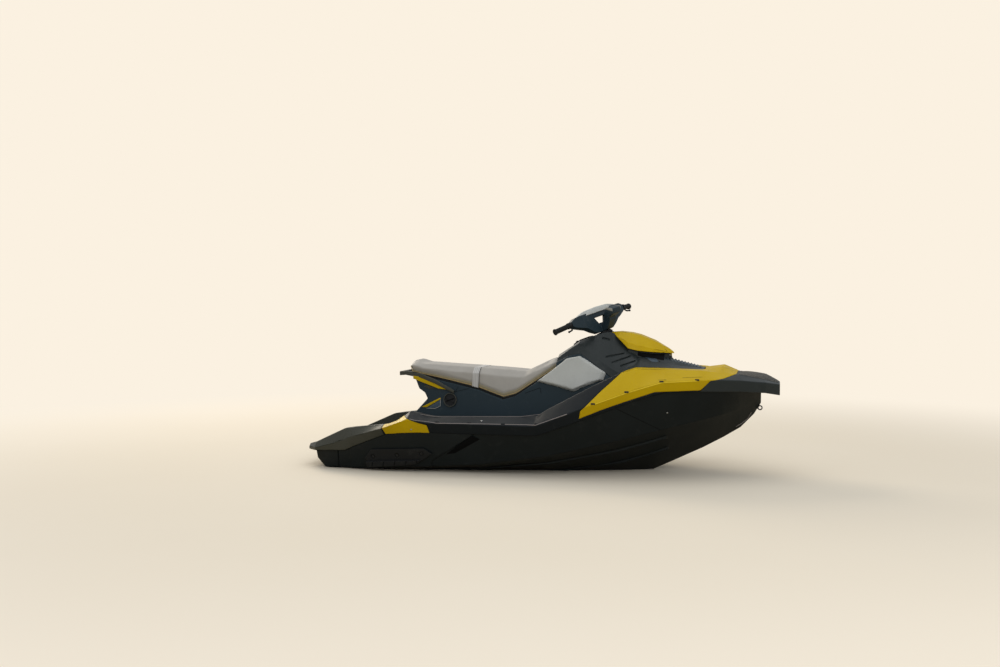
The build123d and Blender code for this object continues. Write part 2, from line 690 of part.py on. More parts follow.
pad_edge = [(x - KNEE_PAD_AT[0], z - KNEE_PAD_AT[2]) for x, z in KNEE_PAD]
pad_cut = bevelled_prism(pad_edge, *KNEE_PAD_DEPTH, KNEE_PAD_BEVEL)
pad_cut = Pos(*KNEE_PAD_AT) * Rot(*KNEE_PAD_TURN) * pad_cut
knee_pad = (tower_form(KNEE_PAD_T) & pad_cut) - tower_whole - console
save(knee_pad, "knee_pad_port")
save(mirror(knee_pad, about=Plane.XZ), "knee_pad_starboard")

# Grab handle, the colour wings under it and the round covers
handle_band = side_prism(HANDLE_TOP + [(x, z - HANDLE_H) for x, z in HANDLE_TOP[::-1]], -REACH, REACH)
handle_outer = plan_prism(mirrored_plan(HANDLE_PLAN), 300, REACH)
handle_inner = plan_prism(mirrored_plan(HANDLE_INNER), 300, REACH)
handle = ((handle_band & handle_outer) - handle_inner) - seat_whole - seat_pan - tower
save(handle, "grab_handle")
wing_plan = mirrored_plan([(x, y - WING_INSET) for x, y in HANDLE_PLAN])
wing = side_prism(WING_EDGE, HANDLE_PLAN[0][1], REACH) & plan_prism(wing_plan, 300, REACH)
wing = wing - handle - tower - seat_pan - seat_whole
save(both_sides(wing), "handle_wings")

cx, cz = COVER_AT
cover_disc = rod((cx, 0, cz), (cx, REACH, cz), COVER_R) & tower_form(COVER_T)
dish = rod((cx, 0, cz), (cx, REACH, cz), COVER_R - COVER_RIM) - tower_form(COVER_T / 2)
turn_bar = Pos(cx, 0, cz) * Rot(0, TURN_BAR_TILT, 0) * Box(TURN_BAR[0], REACH, TURN_BAR[1])
side_cover = (cover_disc - dish) + (turn_bar & tower_form(COVER_T - 1) & cover_disc)
save(both_sides(side_cover - tower_whole), "side_covers")

# Steering


def on_column(shape):
    """Move a shape from the column's own layout to its place on the craft, bars parked turned."""
    return Pos(*STEER_BASE) * Rot(0, -STEER_RAKE, 0) * Rot(0, 0, STEER_AT_REST) * shape


neck = on_column(rod((0, 0, NECK_Z[0]), (0, 0, NECK_Z[1]), *NECK_R))
neck_bore = on_column(rod((0, 0, -120), (0, 0, 200), STEM_R + RUN_GAP))
console = console - neck_bore
save(console, "steering_console")
save(neck - neck_bore - console - hood, "steering_neck")

bar_points = [(x, -y, z) for x, y, z in BAR_PATH[::-1]] + BAR_PATH
bar = bent_bar(bar_points, BAR_R, BAR_BEND)
stem = rod((0, 0, STEM_Z[0]), (0, 0, STEM_Z[1]), STEM_R)
save(on_column(stem), "steering_stem")
save(on_column(bar), "handlebar")


def along_last_run(distance):
    """Point on the bar's last straight run, measured back from its end."""
    (ax, ay, az), (bx, by, bz) = BAR_PATH[-2:]
    length = math.dist(BAR_PATH[-2], BAR_PATH[-1])
    t = 1 - distance / length
    return (ax + t * (bx - ax), ay + t * (by - ay), az + t * (bz - az))


grip = rod(along_last_run(GRIP_L), along_last_run(2), GRIP_R)
grip = grip + rod(along_last_run(4), along_last_run(-9), FLANGE_R)
grip = grip - bar
save(on_column(both_sides(grip)), "grips")

perch = rod(along_last_run(GRIP_L + 20), along_last_run(GRIP_L + 2), PERCH_R)
px, py, pz = along_last_run(GRIP_L + 12)
lever_path = [(px, py, pz - 6), (px + 16, py + 10, pz - 34), (px + 14, py + 46, pz - 38)]
lever = bent_bar(lever_path, LEVER_R, LEVER_BEND) + Pos(*lever_path[-1]) * Sphere(LEVER_R + 2)
lever = (perch + lever) - bar
save(on_column(both_sides(lever)), "levers")

cover_edge = COVER_EDGE + [(-y, z) for y, z in COVER_EDGE[-2:0:-1]]
cover_plan = [(a, y) for y, a, f in COVER_DEPTH[::-1]] + [(a, -y) for y, a, f in COVER_DEPTH[1:]]
cover_plan += [(f, -y) for y, a, f in COVER_DEPTH[:0:-1]] + [(f, y) for y, a, f in COVER_DEPTH]
cover_body = end_prism(cover_edge, -100, 120) & plan_prism(cover_plan, 0, 300)
mast = side_prism(MAST, -MAST_Y, MAST_Y) + side_prism(POD, -POD_Y, POD_Y)
window = end_prism(WINDOW, -100, MAST[0][0] + 6)
crash_pad = Solid.make_loft([
    outline([(a, y, PAD_BASE_Z), (f, y, PAD_BASE_Z), (f - PAD_BEVEL, y, top), (a + PAD_BEVEL, y, top)])
    for y, a, f, top in [(-y, a, f, top) for y, a, f, top in PAD_LINE[:0:-1]] + PAD_LINE
], ruled=True)
screen = Pos(DISPLAY_AT[0], 0, DISPLAY_AT[1]) * Rot(0, DISPLAY_TILT, 0) * Box(*DISPLAY)
cover_body = (cover_body + mast) - window - bar - stem - screen - both_sides(lever)
save(on_column(cover_body), "bar_cover")
save(on_column(crash_pad - cover_body - bar - screen), "bar_pad")
save(on_column(screen), "display")

# Jet pump: ride plate, housing with stator and venturi, nozzle, reverse gate
tip_x = NOZZLE_X - TIP_PAST_PIVOT
cone_x = NOZZLE_X + CONE_TO_PIVOT
gate_x = NOZZLE_X - GATE_BEHIND


def along_pump(runs):
    """Round body along the pump's axis from rows of start x, end x, start radius, end radius."""
    body = None
    for x0, x1, r0, r1 in runs:
        run = rod((x0, 0, PUMP_Z), (x1, 0, PUMP_Z), r0, None if r0 == r1 else r1)
        body = run if body is None else body + run
    return body


plate_y, plate_z = TUNNEL_Y, KEEL_Z + (CHINE_LINE[2][2] - KEEL_Z) * TUNNEL_Y / CHINE_LINE[2][1]
plate_edge = [
    (-plate_y, plate_z), (0, KEEL_Z), (plate_y, plate_z),
    (plate_y, plate_z + PLATE_T), (0, KEEL_Z + PLATE_T), (-plate_y, plate_z + PLATE_T),
]
save(end_prism(plate_edge, BULKHEAD_X, BULKHEAD_X - PLATE_L), "ride_plate")

stern_end = STATOR_X[1]
housing = along_pump([
    (BULKHEAD_X, stern_end, PUMP_R, PUMP_R), (stern_end, cone_x, PUMP_R, VENTURI_R),
    (cone_x, tip_x, VENTURI_R, VENTURI_R),
])
waterway = along_pump([
    (BULKHEAD_X, stern_end, DUCT_R, DUCT_R), (stern_end, cone_x, DUCT_R, VENTURI_R - VENTURI_WALL),
    (cone_x, tip_x, VENTURI_R - VENTURI_WALL, VENTURI_R - VENTURI_WALL),
])
flange = along_pump([(BULKHEAD_X, BULKHEAD_X - FLANGE[0], FLANGE[1], FLANGE[1])])
flange = flange & block(-REACH, REACH, -TUNNEL_Y, TUNNEL_Y, PUMP_Z - 48, TUNNEL_ROOF)
bracket = block(
    gate_x - BRACKET_PAST[0], stern_end + BRACKET_PAST[1], BRACKET_Y, BRACKET_Y + BRACKET_T,
    PUMP_Z - BRACKET_H, PUMP_Z + BRACKET_H)
gate_pin = rod((gate_x, BRACKET_Y, PUMP_Z), (gate_x, GATE_Y + 4, PUMP_Z), PIVOT_R)
bracket = bracket + gate_pin
pin_reach = NOZZLE_RING_R + NOZZLE_WALL + PIN_PROUD
pivots = rod((NOZZLE_X, 0, PUMP_Z - pin_reach), (NOZZLE_X, 0, PUMP_Z + pin_reach), PIVOT_R)
housing = (housing + flange + bracket + mirror(bracket, about=Plane.XZ) + pivots) - waterway

hub = along_pump([
    (STATOR_X[0], STATOR_X[1], HUB_R, HUB_R),
    (STATOR_X[1], STATOR_X[1] - HUB_TAIL[0], HUB_R, HUB_TAIL[1]),
])
vane = Box(VANE_SHARE * (STATOR_X[0] - STATOR_X[1]), VANE_T, DUCT_R - HUB_R + 2 * VANE_T)
vane = Rot(0, 0, VANE_TILT) * vane
vane = Pos((STATOR_X[0] + STATOR_X[1]) / 2, 0, PUMP_Z + (HUB_R + DUCT_R) / 2) * vane
housing = housing + hub
for i in range(VANES):
    housing = housing + vane.rotate(Axis((0, 0, PUMP_Z), (1, 0, 0)), 360 / VANES * i)
bearing = along_pump([(STATOR_X[0], STATOR_X[0] - 40, SHAFT_R + RUN_GAP, SHAFT_R + RUN_GAP)])
save(housing - bearing, "pump_housing")

ring_front, ring_back = NOZZLE_X + NOZZLE_RING[0], NOZZLE_X + NOZZLE_RING[1]
outlet_x = NOZZLE_X - NOZZLE_L
ring_outer = NOZZLE_RING_R + NOZZLE_WALL
nozzle = along_pump([
    (ring_front, ring_back, ring_outer, ring_outer),
    (ring_back, outlet_x, ring_outer, NOZZLE_R),
])
nozzle = nozzle - along_pump([
    (ring_front, ring_back, NOZZLE_RING_R, NOZZLE_RING_R),
    (ring_back, outlet_x, NOZZLE_RING_R, NOZZLE_R - NOZZLE_WALL),
])
nozzle = nozzle - rod((NOZZLE_X, 0, -REACH), (NOZZLE_X, 0, REACH), PIVOT_R + RUN_GAP)
save(nozzle.rotate(Axis((NOZZLE_X, 0, PUMP_Z), (0, 0, 1)), NOZZLE_AT_REST), "steering_nozzle")


def gate_disc(radius, y0, y1):
    return rod((gate_x, y0, PUMP_Z), (gate_x, y1, PUMP_Z), radius)


visor = gate_disc(GATE_R + GATE_T, -GATE_Y, GATE_Y) - gate_disc(GATE_R, -GATE_Y, GATE_Y)
wedge = side_prism([(gate_x + x, PUMP_Z + z) for x, z in GATE_WEDGE], -GATE_Y, GATE_Y)
arm = side_prism([(gate_x + x, PUMP_Z + z) for x, z in GATE_ARM], GATE_Y - GATE_ARM_T, GATE_Y)
arm = arm + gate_disc(3 * PIVOT_R, GATE_Y - GATE_ARM_T, GATE_Y)
arm = arm - gate_disc(PIVOT_R + RUN_GAP, 0, REACH)
save((visor & wedge) + arm + mirror(arm, about=Plane.XZ), "reverse_gate")

# Impeller on its shaft


def blade_section(x, angle, r0, r1):
    c, s = math.cos(angle), math.sin(angle)
    h = BLADE_T / 2
    corners = ((r0, -h), (r1, -h), (r1, h), (r0, h))
    return outline([(x, r * c - t * s, PUMP_Z + r * s + t * c) for r, t in corners])


def blade(start):
    x0, x1 = IMPELLER_X[0] - 10, IMPELLER_X[1] + 10
    wires = []
    for i in range(BLADE_STEPS + 1):
        t = i / BLADE_STEPS
        angle = start + t * math.radians(BLADE_WRAP)
        wires.append(blade_section(x0 + t * (x1 - x0), angle, SHAFT_R + 4, DUCT_R - BLADE_GAP))
    return Solid.make_loft(wires, ruled=True)


impeller = along_pump([(IMPELLER_X[0], IMPELLER_X[1], HUB_R - 6, HUB_R)])
for i in range(BLADES):
    impeller = impeller + blade(2 * math.pi * i / BLADES)
shaft = along_pump([(BAY[0] - 4, STATOR_X[0] - 36, SHAFT_R, SHAFT_R)])
save(impeller - shaft, "impeller")
save(shaft, "drive_shaft")

# Grate across the water intake


def bottom_z(y):
    return KEEL_Z + GRATE_RISE * abs(y)


grate = end_prism(
    [(-DUCT_R, bottom_z(DUCT_R)), (0, KEEL_Z), (DUCT_R, bottom_z(DUCT_R)),
     (DUCT_R, bottom_z(DUCT_R) + GRATE_H), (0, KEEL_Z + GRATE_H), (-DUCT_R, bottom_z(DUCT_R) + GRATE_H)],
    LIP_X, LIP_X + GRATE_H)
for y in SLATS:
    low, high = bottom_z(y) + SLAT_INSET, bottom_z(y) + GRATE_H - SLAT_INSET
    slat = block(LIP_X, INTAKE_X, y - SLAT_T / 2, y + SLAT_T / 2, low, high)
    grate = grate + (slat & intake)
save(grate, "intake_grate")

# Sponsons
sponson = hull_form(SIDE_PAD + SPONSON_T) & side_prism(SPONSON, 300, REACH)
lip = hull_form(SIDE_PAD + LIP_T) & side_prism(SPONSON_LIP, 300, REACH)
bolt_r, bolt_depth = BOLT_RECESS
for x, z in SPONSON_BOLTS:
    well = rod((x, 300, z), (x, REACH, z), bolt_r) - hull_form(SIDE_PAD + SPONSON_T - bolt_depth)
    sponson = sponson - well
for x in LIP_RIB_X:
    groove = side_prism([(x, 0), (x + 30, 90), (x + 36, 90), (x + 6, 0)], 300, REACH)
    lip = lip - (groove - hull_form(SIDE_PAD + LIP_T - 6))
sponson = (sponson + lip) - hull_outside
save(sponson, "sponson_port")
save(mirror(sponson, about=Plane.XZ), "sponson_starboard")

# Towing eyes and drain plugs
bx, bz = BOW_EYE_AT
eye = rod((bx, -EYE_T / 2, bz), (bx, EYE_T / 2, bz), EYE_R + BOW_EYE_WALL)
eye = eye + block(bx - 60, bx, -EYE_T / 2, EYE_T / 2, bz - BOW_EYE_WALL, bz + BOW_EYE_WALL)
eye = eye - rod((bx, -EYE_T, bz), (bx, EYE_T, bz), EYE_R) - hull_outside
save(eye, "bow_eye")

sx, sy, sz = STERN_EYE_AT
stern_eye = rod((sx, sy - EYE_T / 2, sz), (sx, sy + EYE_T / 2, sz), EYE_R + EYE_WALL)
stern_eye = stern_eye + block(sx, sx + 60, sy - EYE_T / 2, sy + EYE_T / 2, sz - EYE_WALL, sz + EYE_WALL)
stern_eye = stern_eye - rod((sx, sy - EYE_T, sz), (sx, sy + EYE_T, sz), EYE_R) - hull_outside
save(both_sides(stern_eye), "stern_eyes")

dx, dy, dz = DRAIN_AT
plug = rod((dx - 4, dy, dz), (dx + 30, dy, dz), 16) + rod((dx - 14, dy, dz), (dx, dy, dz), 9)
save(both_sides(plug - hull_outside), "drain_plugs")
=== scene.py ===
# %% [markdown]
# # A personal watercraft, dressed over its CAD frame
# The frame holds every rigid piece at its real size, in metres, with the bow towards +X,
# port towards +Y and the water at Z = 0. This lesson gives those pieces their finish and
# adds what CAD leaves plain: padded seat and pads, webbing, embossed mats, trim, fasteners.

# %% Load the frame
import json
import math

import bmesh
import bpy
from mathutils import Matrix, Vector
from mathutils.bvhtree import BVHTree

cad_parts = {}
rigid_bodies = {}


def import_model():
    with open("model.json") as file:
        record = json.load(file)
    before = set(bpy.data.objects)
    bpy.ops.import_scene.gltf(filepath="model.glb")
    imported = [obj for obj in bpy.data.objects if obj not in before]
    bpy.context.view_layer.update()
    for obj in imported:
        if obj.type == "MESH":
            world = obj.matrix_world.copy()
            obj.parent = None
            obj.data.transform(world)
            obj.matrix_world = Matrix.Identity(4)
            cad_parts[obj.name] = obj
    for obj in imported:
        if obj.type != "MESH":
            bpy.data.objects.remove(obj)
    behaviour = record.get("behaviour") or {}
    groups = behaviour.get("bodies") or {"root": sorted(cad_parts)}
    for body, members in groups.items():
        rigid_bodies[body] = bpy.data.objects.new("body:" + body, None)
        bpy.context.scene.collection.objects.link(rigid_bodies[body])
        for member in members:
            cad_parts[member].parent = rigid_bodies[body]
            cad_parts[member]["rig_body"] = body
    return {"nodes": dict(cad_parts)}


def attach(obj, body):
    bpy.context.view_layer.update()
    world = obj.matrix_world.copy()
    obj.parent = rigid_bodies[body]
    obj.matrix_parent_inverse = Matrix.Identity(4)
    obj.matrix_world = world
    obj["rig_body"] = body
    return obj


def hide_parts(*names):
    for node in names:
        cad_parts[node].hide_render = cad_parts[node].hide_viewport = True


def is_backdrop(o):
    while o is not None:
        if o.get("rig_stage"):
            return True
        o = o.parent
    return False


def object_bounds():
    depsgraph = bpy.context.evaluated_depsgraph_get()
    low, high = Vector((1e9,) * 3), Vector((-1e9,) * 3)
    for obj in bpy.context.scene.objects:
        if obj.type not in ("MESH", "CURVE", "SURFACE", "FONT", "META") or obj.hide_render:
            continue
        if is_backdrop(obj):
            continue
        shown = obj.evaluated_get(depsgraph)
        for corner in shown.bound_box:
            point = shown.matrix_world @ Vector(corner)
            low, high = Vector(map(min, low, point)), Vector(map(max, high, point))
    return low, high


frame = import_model()
nodes = frame["nodes"]
cad_low, cad_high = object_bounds()
MM = 0.001
print("CAD box", [round(v, 3) for v in (*cad_low, *cad_high)])

# %% [markdown]
# ## Camera
# The photograph was taken from the starboard side, abreast of the bow and about 1.1 m
# above the water, with a normal lens. The horizon sits above the middle of the frame, so
# the camera looks down by a degree or two.

# %% Camera
CAMERA_AT = (1.493, -7.171, 1.10)
CAMERA_TURN = 14.0
CAMERA_DIP = 1.74
LENS = 39.6
SENSOR = 36.0

camera_data = bpy.data.cameras.new("camera")
camera_data.lens = LENS
camera_data.sensor_width = SENSOR
camera = bpy.data.objects.new("camera", camera_data)
camera.location = CAMERA_AT
camera.rotation_euler = (math.radians(90.0 - CAMERA_DIP), 0.0, math.radians(CAMERA_TURN))
bpy.context.scene.collection.objects.link(camera)
bpy.context.scene.camera = camera
print("camera", CAMERA_AT)

# %% [markdown]
# ## Working with shader nodes
# Every finish below is the same idea: a Principled shader, a position on the object in
# metres, and a few pattern nodes whose scale comes from a real size. Helpers keep that
# short: one turns a hex colour to linear light, one feeds a node's inputs, and one adds a
# node with its settings and links.

# %% Colour and node helpers
COLOUR = {"data_type": "RGBA"}


def linear(code):
    """sRGB hex colour as linear RGBA."""
    channels = [int(code[i:i + 2], 16) / 255 for i in (1, 3, 5)]
    curve = [c / 12.92 if c <= 0.04045 else ((c + 0.055) / 1.055) ** 2.4 for c in channels]
    return (*curve, 1.0)


def feed(material, node, **sockets):
    """Set a node's inputs by name or number, each to a value or to another node's output."""
    for name, value in sockets.items():
        key = int(name[1:]) if name[1:].isdigit() else name.replace("_", " ")
        if isinstance(value, bpy.types.NodeSocket):
            material.node_tree.links.new(value, node.inputs[key])
        else:
            node.inputs[key].default_value = value
    return node


def add(material, kind, settings=(), **sockets):
    """Add a shader node with its settings and feed its inputs."""
    made = material.node_tree.nodes.new("ShaderNode" + kind)
    for name, value in dict(settings).items():
        setattr(made, name, value)
    return feed(material, made, **sockets)


def start_finish(name, **constants):
    """New material with its Principled shader and the place on the object in metres."""
    material = bpy.data.materials.new(name)
    material.use_nodes = True
    shader = feed(material, material.node_tree.nodes["Principled BSDF"], **constants)
    place = add(material, "TexCoord").outputs["Object"]
    return material, shader, place


print("helpers ready, mid grey is", round(linear("#808080")[0], 3), "in linear light")

# %% [markdown]
# ## Moulded plastics
# Panels, deck and fairings are injection-moulded polypropylene, coloured in the mass. The
# mould is lightly etched, so the gloss is broken by a fine grain, and larger flow marks
# and handling leave slow changes of gloss. Each plastic differs in colour, grain and how
# much dried salt it shows, so one maker takes those as arguments. Thin scuffs, drawn by a
# stretched noise, run fore and aft, as feet and fenders leave them.

# %% Moulded plastic
GRAIN_MM = 1.6          # real etch is 0.3 mm, drawn coarser so that it shows at this distance
FLOW_MM = 160.0
SPOT_MM = 9.0
SALT_MM = 71.4
SCUFF_MM = (166.7, 8.33, 5.56)      # long fore and aft, thin across
DRIED_SALT = linear("#9A9A94")


def moulded(name, colour, worn_colour, rough, grain_depth, salt, scuff=0.25, shine=0.3):
    """Moulded plastic. The grain's depth is in metres, salt and scuff are the most that shows."""
    material, shader, place = start_finish(name, IOR=1.49, Specular_IOR_Level=shine)
    flow = add(material, "TexNoise", Vector=place, Scale=1000 / FLOW_MM, Detail=3.0, Roughness=0.55)
    fine = add(material, "TexNoise", Vector=place, Scale=1000 / GRAIN_MM, Detail=2.0)
    spots = add(
        material, "TexVoronoi", {"feature": "DISTANCE_TO_EDGE"}, Vector=place, Scale=1000 / SPOT_MM)
    film = add(material, "TexNoise", Vector=place, Scale=1000 / SALT_MM, Detail=6.0, Roughness=0.7)
    drawn = add(material, "Mapping", Vector=place, Scale=[1000 / size for size in SCUFF_MM])
    streaks = add(material, "TexNoise", Vector=drawn.outputs[0], Scale=1.0, Detail=5.0, Roughness=0.7)
    scratch = add(
        material, "MapRange", Value=streaks.outputs["Fac"], From_Min=0.62, From_Max=0.7, To_Max=scuff)
    dried = add(material, "MapRange", Value=film.outputs["Fac"], From_Min=0.56, From_Max=0.74, To_Max=salt)
    fade = add(material, "MapRange", Value=flow.outputs["Fac"], From_Min=0.35, From_Max=0.7, To_Max=0.5)
    body = add(material, "Mix", COLOUR, _0=fade.outputs[0], _6=linear(colour), _7=linear(worn_colour))
    salted = add(material, "Mix", COLOUR, _0=dried.outputs[0], _6=body.outputs[2], _7=DRIED_SALT)
    gloss = add(
        material, "MapRange", Value=flow.outputs["Fac"], From_Min=0.3, From_Max=0.7,
        To_Min=rough - 0.07, To_Max=rough + 0.09)
    dulled = add(
        material, "Math", {"operation": "MULTIPLY_ADD"}, _0=dried.outputs[0], _1=0.6, _2=gloss.outputs[0])
    scuffed = add(material, "Math", {"operation": "ADD"}, _0=dulled.outputs[0], _1=scratch.outputs[0])
    edge = add(material, "MapRange", Value=spots.outputs["Distance"], From_Max=0.2, To_Min=-0.15, To_Max=0.0)
    relief = add(material, "Math", {"operation": "ADD"}, _0=fine.outputs["Fac"], _1=edge.outputs[0])
    bump = add(material, "Bump", Height=relief.outputs[0], Distance=grain_depth, Strength=0.55)
    feed(
        material, shader, Base_Color=salted.outputs[2], Roughness=scuffed.outputs[0],
        Normal=bump.outputs[0])
    print("plastic", name)
    return material


# %% [markdown]
# ## The plastics of this craft
# Slate greys carry the colour of the deck, from nearly black low down to blue grey on the
# small plates. Some ridges and lips get a pale finish that is a painted highlight, and some
# grooves and creases a dark finish that is painted shade.

# %% Plastics
yellow_moulding = moulded(
    "polypropylene_moulded_yellow", "#CDAC03", "#C09D03", 0.42, 0.00010, 0.02, shine=0.15)
slate_moulding = moulded("polypropylene_moulded_slate", "#2A3031", "#303636", 0.42, 0.00016, 0.05)
deck_moulding = moulded(
    "polypropylene_moulded_deep_slate", "#10171C", "#161D22", 0.52, 0.00016, 0.04, shine=0.22)
slate_dark_moulding = moulded(
    "polypropylene_moulded_dark_slate", "#203038", "#27363F", 0.46, 0.00016, 0.04)
slate_pale_moulding = moulded(
    "polypropylene_moulded_blue_grey", "#42505C", "#4A5761", 0.42, 0.00016, 0.04)
black_moulding = moulded("polypropylene_grained_black", "#16181A", "#1E1F20", 0.52, 0.00025, 0.05)
fairing_moulding = moulded("polypropylene_grained_warm_grey", "#43443C", "#4A4A42", 0.50, 0.00025, 0.05)
hull_moulding = moulded(
    "glass_filled_polypropylene_charcoal", "#12191B", "#171E20", 0.42, 0.00018, 0.03, shine=0.25)
# Black for real seams, the gasket and slots, and also for painted shade: dark creases, bands and the coaming
# under the lid
seam_and_painted_shade_black = moulded(
    "elastomer_seam_and_painted_shade_black", "#050606", "#08090A", 0.75, 0.0001, 0.0, scuff=0.0, shine=0.12)
# Pale yellow: a painted highlight along the bow panels' ridge
painted_highlight_yellow = moulded("polypropylene_painted_highlight_yellow", "#F2D634", "#E6C926", 0.40, 0.0001, 0.02)
# Pale grey: a painted highlight along the deck's ridge and rim, also used for the stem strip
painted_highlight_grey = moulded("polypropylene_painted_highlight_grey", "#8C8583", "#7F7977", 0.45, 0.0001, 0.05)
# Dark yellow: painted shade in the grooves and creases of the yellow panels and the lid
painted_shade_yellow = moulded(
    "polypropylene_painted_groove_shade_yellow", "#7D6A0A", "#756309", 0.50, 0.0001, 0.02, scuff=0.0)
bezel_grey = moulded("abs_moulded_pale_grey", "#A9A79F", "#9C9A92", 0.40, 0.0001, 0.02)

# %% [markdown]
# ## Non-slip moulding
# The bumper's top is moulded with a coarse sandpaper texture so that a wet foot holds. It
# looks speckled, because the raised grains wear pale and salt stays between them.

# %% Non-slip finish
SPECKLE_MM = 7.0        # real grains are 1 to 2 mm, drawn coarser so that they show
WASH_MM = 8.33
nonslip, shader, place = start_finish("polypropylene_nonslip_speckled", IOR=1.49, Specular_IOR_Level=0.3)
grains = add(nonslip, "TexVoronoi", Vector=place, Scale=1000 / SPECKLE_MM, Randomness=1.0)
wash = add(nonslip, "TexNoise", Vector=place, Scale=1000 / WASH_MM, Detail=5.0, Roughness=0.7)
pale = add(nonslip, "MapRange", Value=wash.outputs["Fac"], From_Min=0.42, From_Max=0.6)
tone = add(nonslip, "Mix", COLOUR, _0=pale.outputs[0], _6=linear("#3B3B38"), _7=linear("#6A665F"))
dull = add(nonslip, "MapRange", Value=wash.outputs["Fac"], To_Min=0.65, To_Max=0.9)
raised = add(nonslip, "Bump", Height=grains.outputs["Distance"], Distance=0.0015, Strength=0.9)
feed(nonslip, shader, Base_Color=tone.outputs[2], Roughness=dull.outputs[0], Normal=raised.outputs[0])
print("non-slip ready")

# %% [markdown]
# ## Vinyl and foam skin
# The saddle is covered with marine vinyl, a coated knit with a pebbled leather grain. The
# knee and crash pads are integral-skin foam, moulded in one shot, so they are smoother and
# duller. Both show painted soft shading from folds and a little grime where hands and knees rub.

# %% Vinyl and foam
PEBBLE_MM = 3.5         # real grain is about 1 mm
BINDING_GRAIN_MM = 2.5
FOAM_GRAIN_MM = 2.2
FOLD_MM = 111.0
GRIME_MM = 31.25
GRIME = linear("#938B7E")


def pebbled(name, colour, shade_colour, rough, grain_mm, depth):
    """Soft skin with a pebbled grain. The grain's depth is in metres."""
    material, shader, place = start_finish(name, IOR=1.47, Specular_IOR_Level=0.35, Sheen_Weight=0.05)
    cells = add(material, "TexVoronoi", Vector=place, Scale=1000 / grain_mm, Randomness=0.9)
    folds = add(material, "TexNoise", Vector=place, Scale=1000 / FOLD_MM, Detail=4.0, Roughness=0.6)
    grime = add(material, "TexNoise", Vector=place, Scale=1000 / GRIME_MM, Detail=6.0, Roughness=0.7)
    # Painted shade: the colour darkens toward the shade colour where the fold noise is high
    painted_fold_shade = add(material, "MapRange", Value=folds.outputs["Fac"], From_Min=0.42, From_Max=0.7, To_Max=0.55)
    body = add(material, "Mix", COLOUR, _0=painted_fold_shade.outputs[0], _6=linear(colour), _7=linear(shade_colour))
    dirt = add(material, "MapRange", Value=grime.outputs["Fac"], From_Min=0.60, From_Max=0.80, To_Max=0.35)
    used = add(material, "Mix", COLOUR, _0=dirt.outputs[0], _6=body.outputs[2], _7=GRIME)
    gloss = add(
        material, "MapRange", Value=folds.outputs["Fac"], From_Min=0.3, From_Max=0.7,
        To_Min=rough - 0.06, To_Max=rough + 0.08)
    grain = add(material, "Bump", Height=cells.outputs["Distance"], Distance=depth, Strength=0.5)
    soft = add(
        material, "Bump", Height=folds.outputs["Fac"], Distance=0.003, Strength=0.2, Normal=grain.outputs[0])
    feed(material, shader, Base_Color=used.outputs[2], Roughness=gloss.outputs[0], Normal=soft.outputs[0])
    print("soft finish", name)
    return material


seat_vinyl = pebbled("marine_vinyl_grained_pale_grey", "#AEAAA3", "#A29D96", 0.54, PEBBLE_MM, 0.0004)
# Beige and tan for the seat's lower edge: painted warm bounce light
binding_painted_bounce_beige = pebbled("vinyl_painted_bounce_light_beige", "#A39A80", "#948B72", 0.55, BINDING_GRAIN_MM, 0.0002)
welt_painted_bounce_tan = pebbled("vinyl_painted_bounce_light_tan", "#C2A874", "#B09862", 0.50, BINDING_GRAIN_MM, 0.0002)
foam_skin = pebbled("integral_skin_foam_pale_grey", "#BFC1BD", "#B3B5B1", 0.56, FOAM_GRAIN_MM, 0.0002)

# %% [markdown]
# ## Webbing
# The band round the seat is woven polyester. Its weave shows as rows of small ribs, which
# a wave texture draws, and loose fibres blur them a little. The wave texture counts 20
# radians for each unit of its scale, so its scale is worked out from the ribs' spacing.

# %% Webbing
RIB_MM = 11.8           # real webbing has a rib every 1.5 mm, drawn coarser so that it shows
THREAD_MM = 1.67
webbing, shader, place = start_finish("polyester_webbing_pale", IOR=1.5, Sheen_Weight=0.2, Roughness=0.82)
ribs = add(
    webbing, "TexWave", {"wave_type": "BANDS", "bands_direction": "X"},
    Vector=place, Scale=2 * math.pi / 20 * 1000 / RIB_MM, Distortion=0.4, Detail=1.0)
thread = add(webbing, "TexNoise", Vector=place, Scale=1000 / THREAD_MM, Detail=2.0)
weave = add(webbing, "Mix", COLOUR, _0=ribs.outputs["Fac"], _6=linear("#B2B0AC"), _7=linear("#C6C4C0"))
height = add(
    webbing, "Math", {"operation": "MULTIPLY_ADD"}, _0=thread.outputs["Fac"], _1=0.3, _2=ribs.outputs["Fac"])
raised = add(webbing, "Bump", Height=height.outputs[0], Distance=0.0006, Strength=0.6)
feed(webbing, shader, Base_Color=weave.outputs[2], Normal=raised.outputs[0])
print("webbing ready")

# %% [markdown]
# ## Mats, grips and window
# The floor mats are closed-cell foam, heat-embossed. The grips are soft rubber. The gauge
# has a dark hard-coated window. All three are nearly black, so what tells them apart is
# their gloss: foam and rubber scatter light, the window mirrors it.

# %% Foam mats
PORE_MM = 3.85          # real pores are under 1 mm
SAND_MM = 55.6
mat_foam, shader, place = start_finish("foam_embossed_black", IOR=1.45, Specular_IOR_Level=0.3)
cell = add(mat_foam, "TexNoise", Vector=place, Scale=1000 / PORE_MM, Detail=3.0)
sand = add(mat_foam, "TexNoise", Vector=place, Scale=1000 / SAND_MM, Detail=8.0, Roughness=0.75)
grit = add(mat_foam, "MapRange", Value=sand.outputs["Fac"], From_Min=0.56, From_Max=0.72, To_Max=0.35)
tone = add(mat_foam, "Mix", COLOUR, _0=grit.outputs[0], _6=linear("#202224"), _7=linear("#5D564A"))
dull = add(mat_foam, "MapRange", Value=cell.outputs["Fac"], To_Min=0.72, To_Max=0.92)
pores = add(mat_foam, "Bump", Height=cell.outputs["Fac"], Distance=0.0005, Strength=0.6)
feed(mat_foam, shader, Base_Color=tone.outputs[2], Roughness=dull.outputs[0], Normal=pores.outputs[0])
print("mats ready")

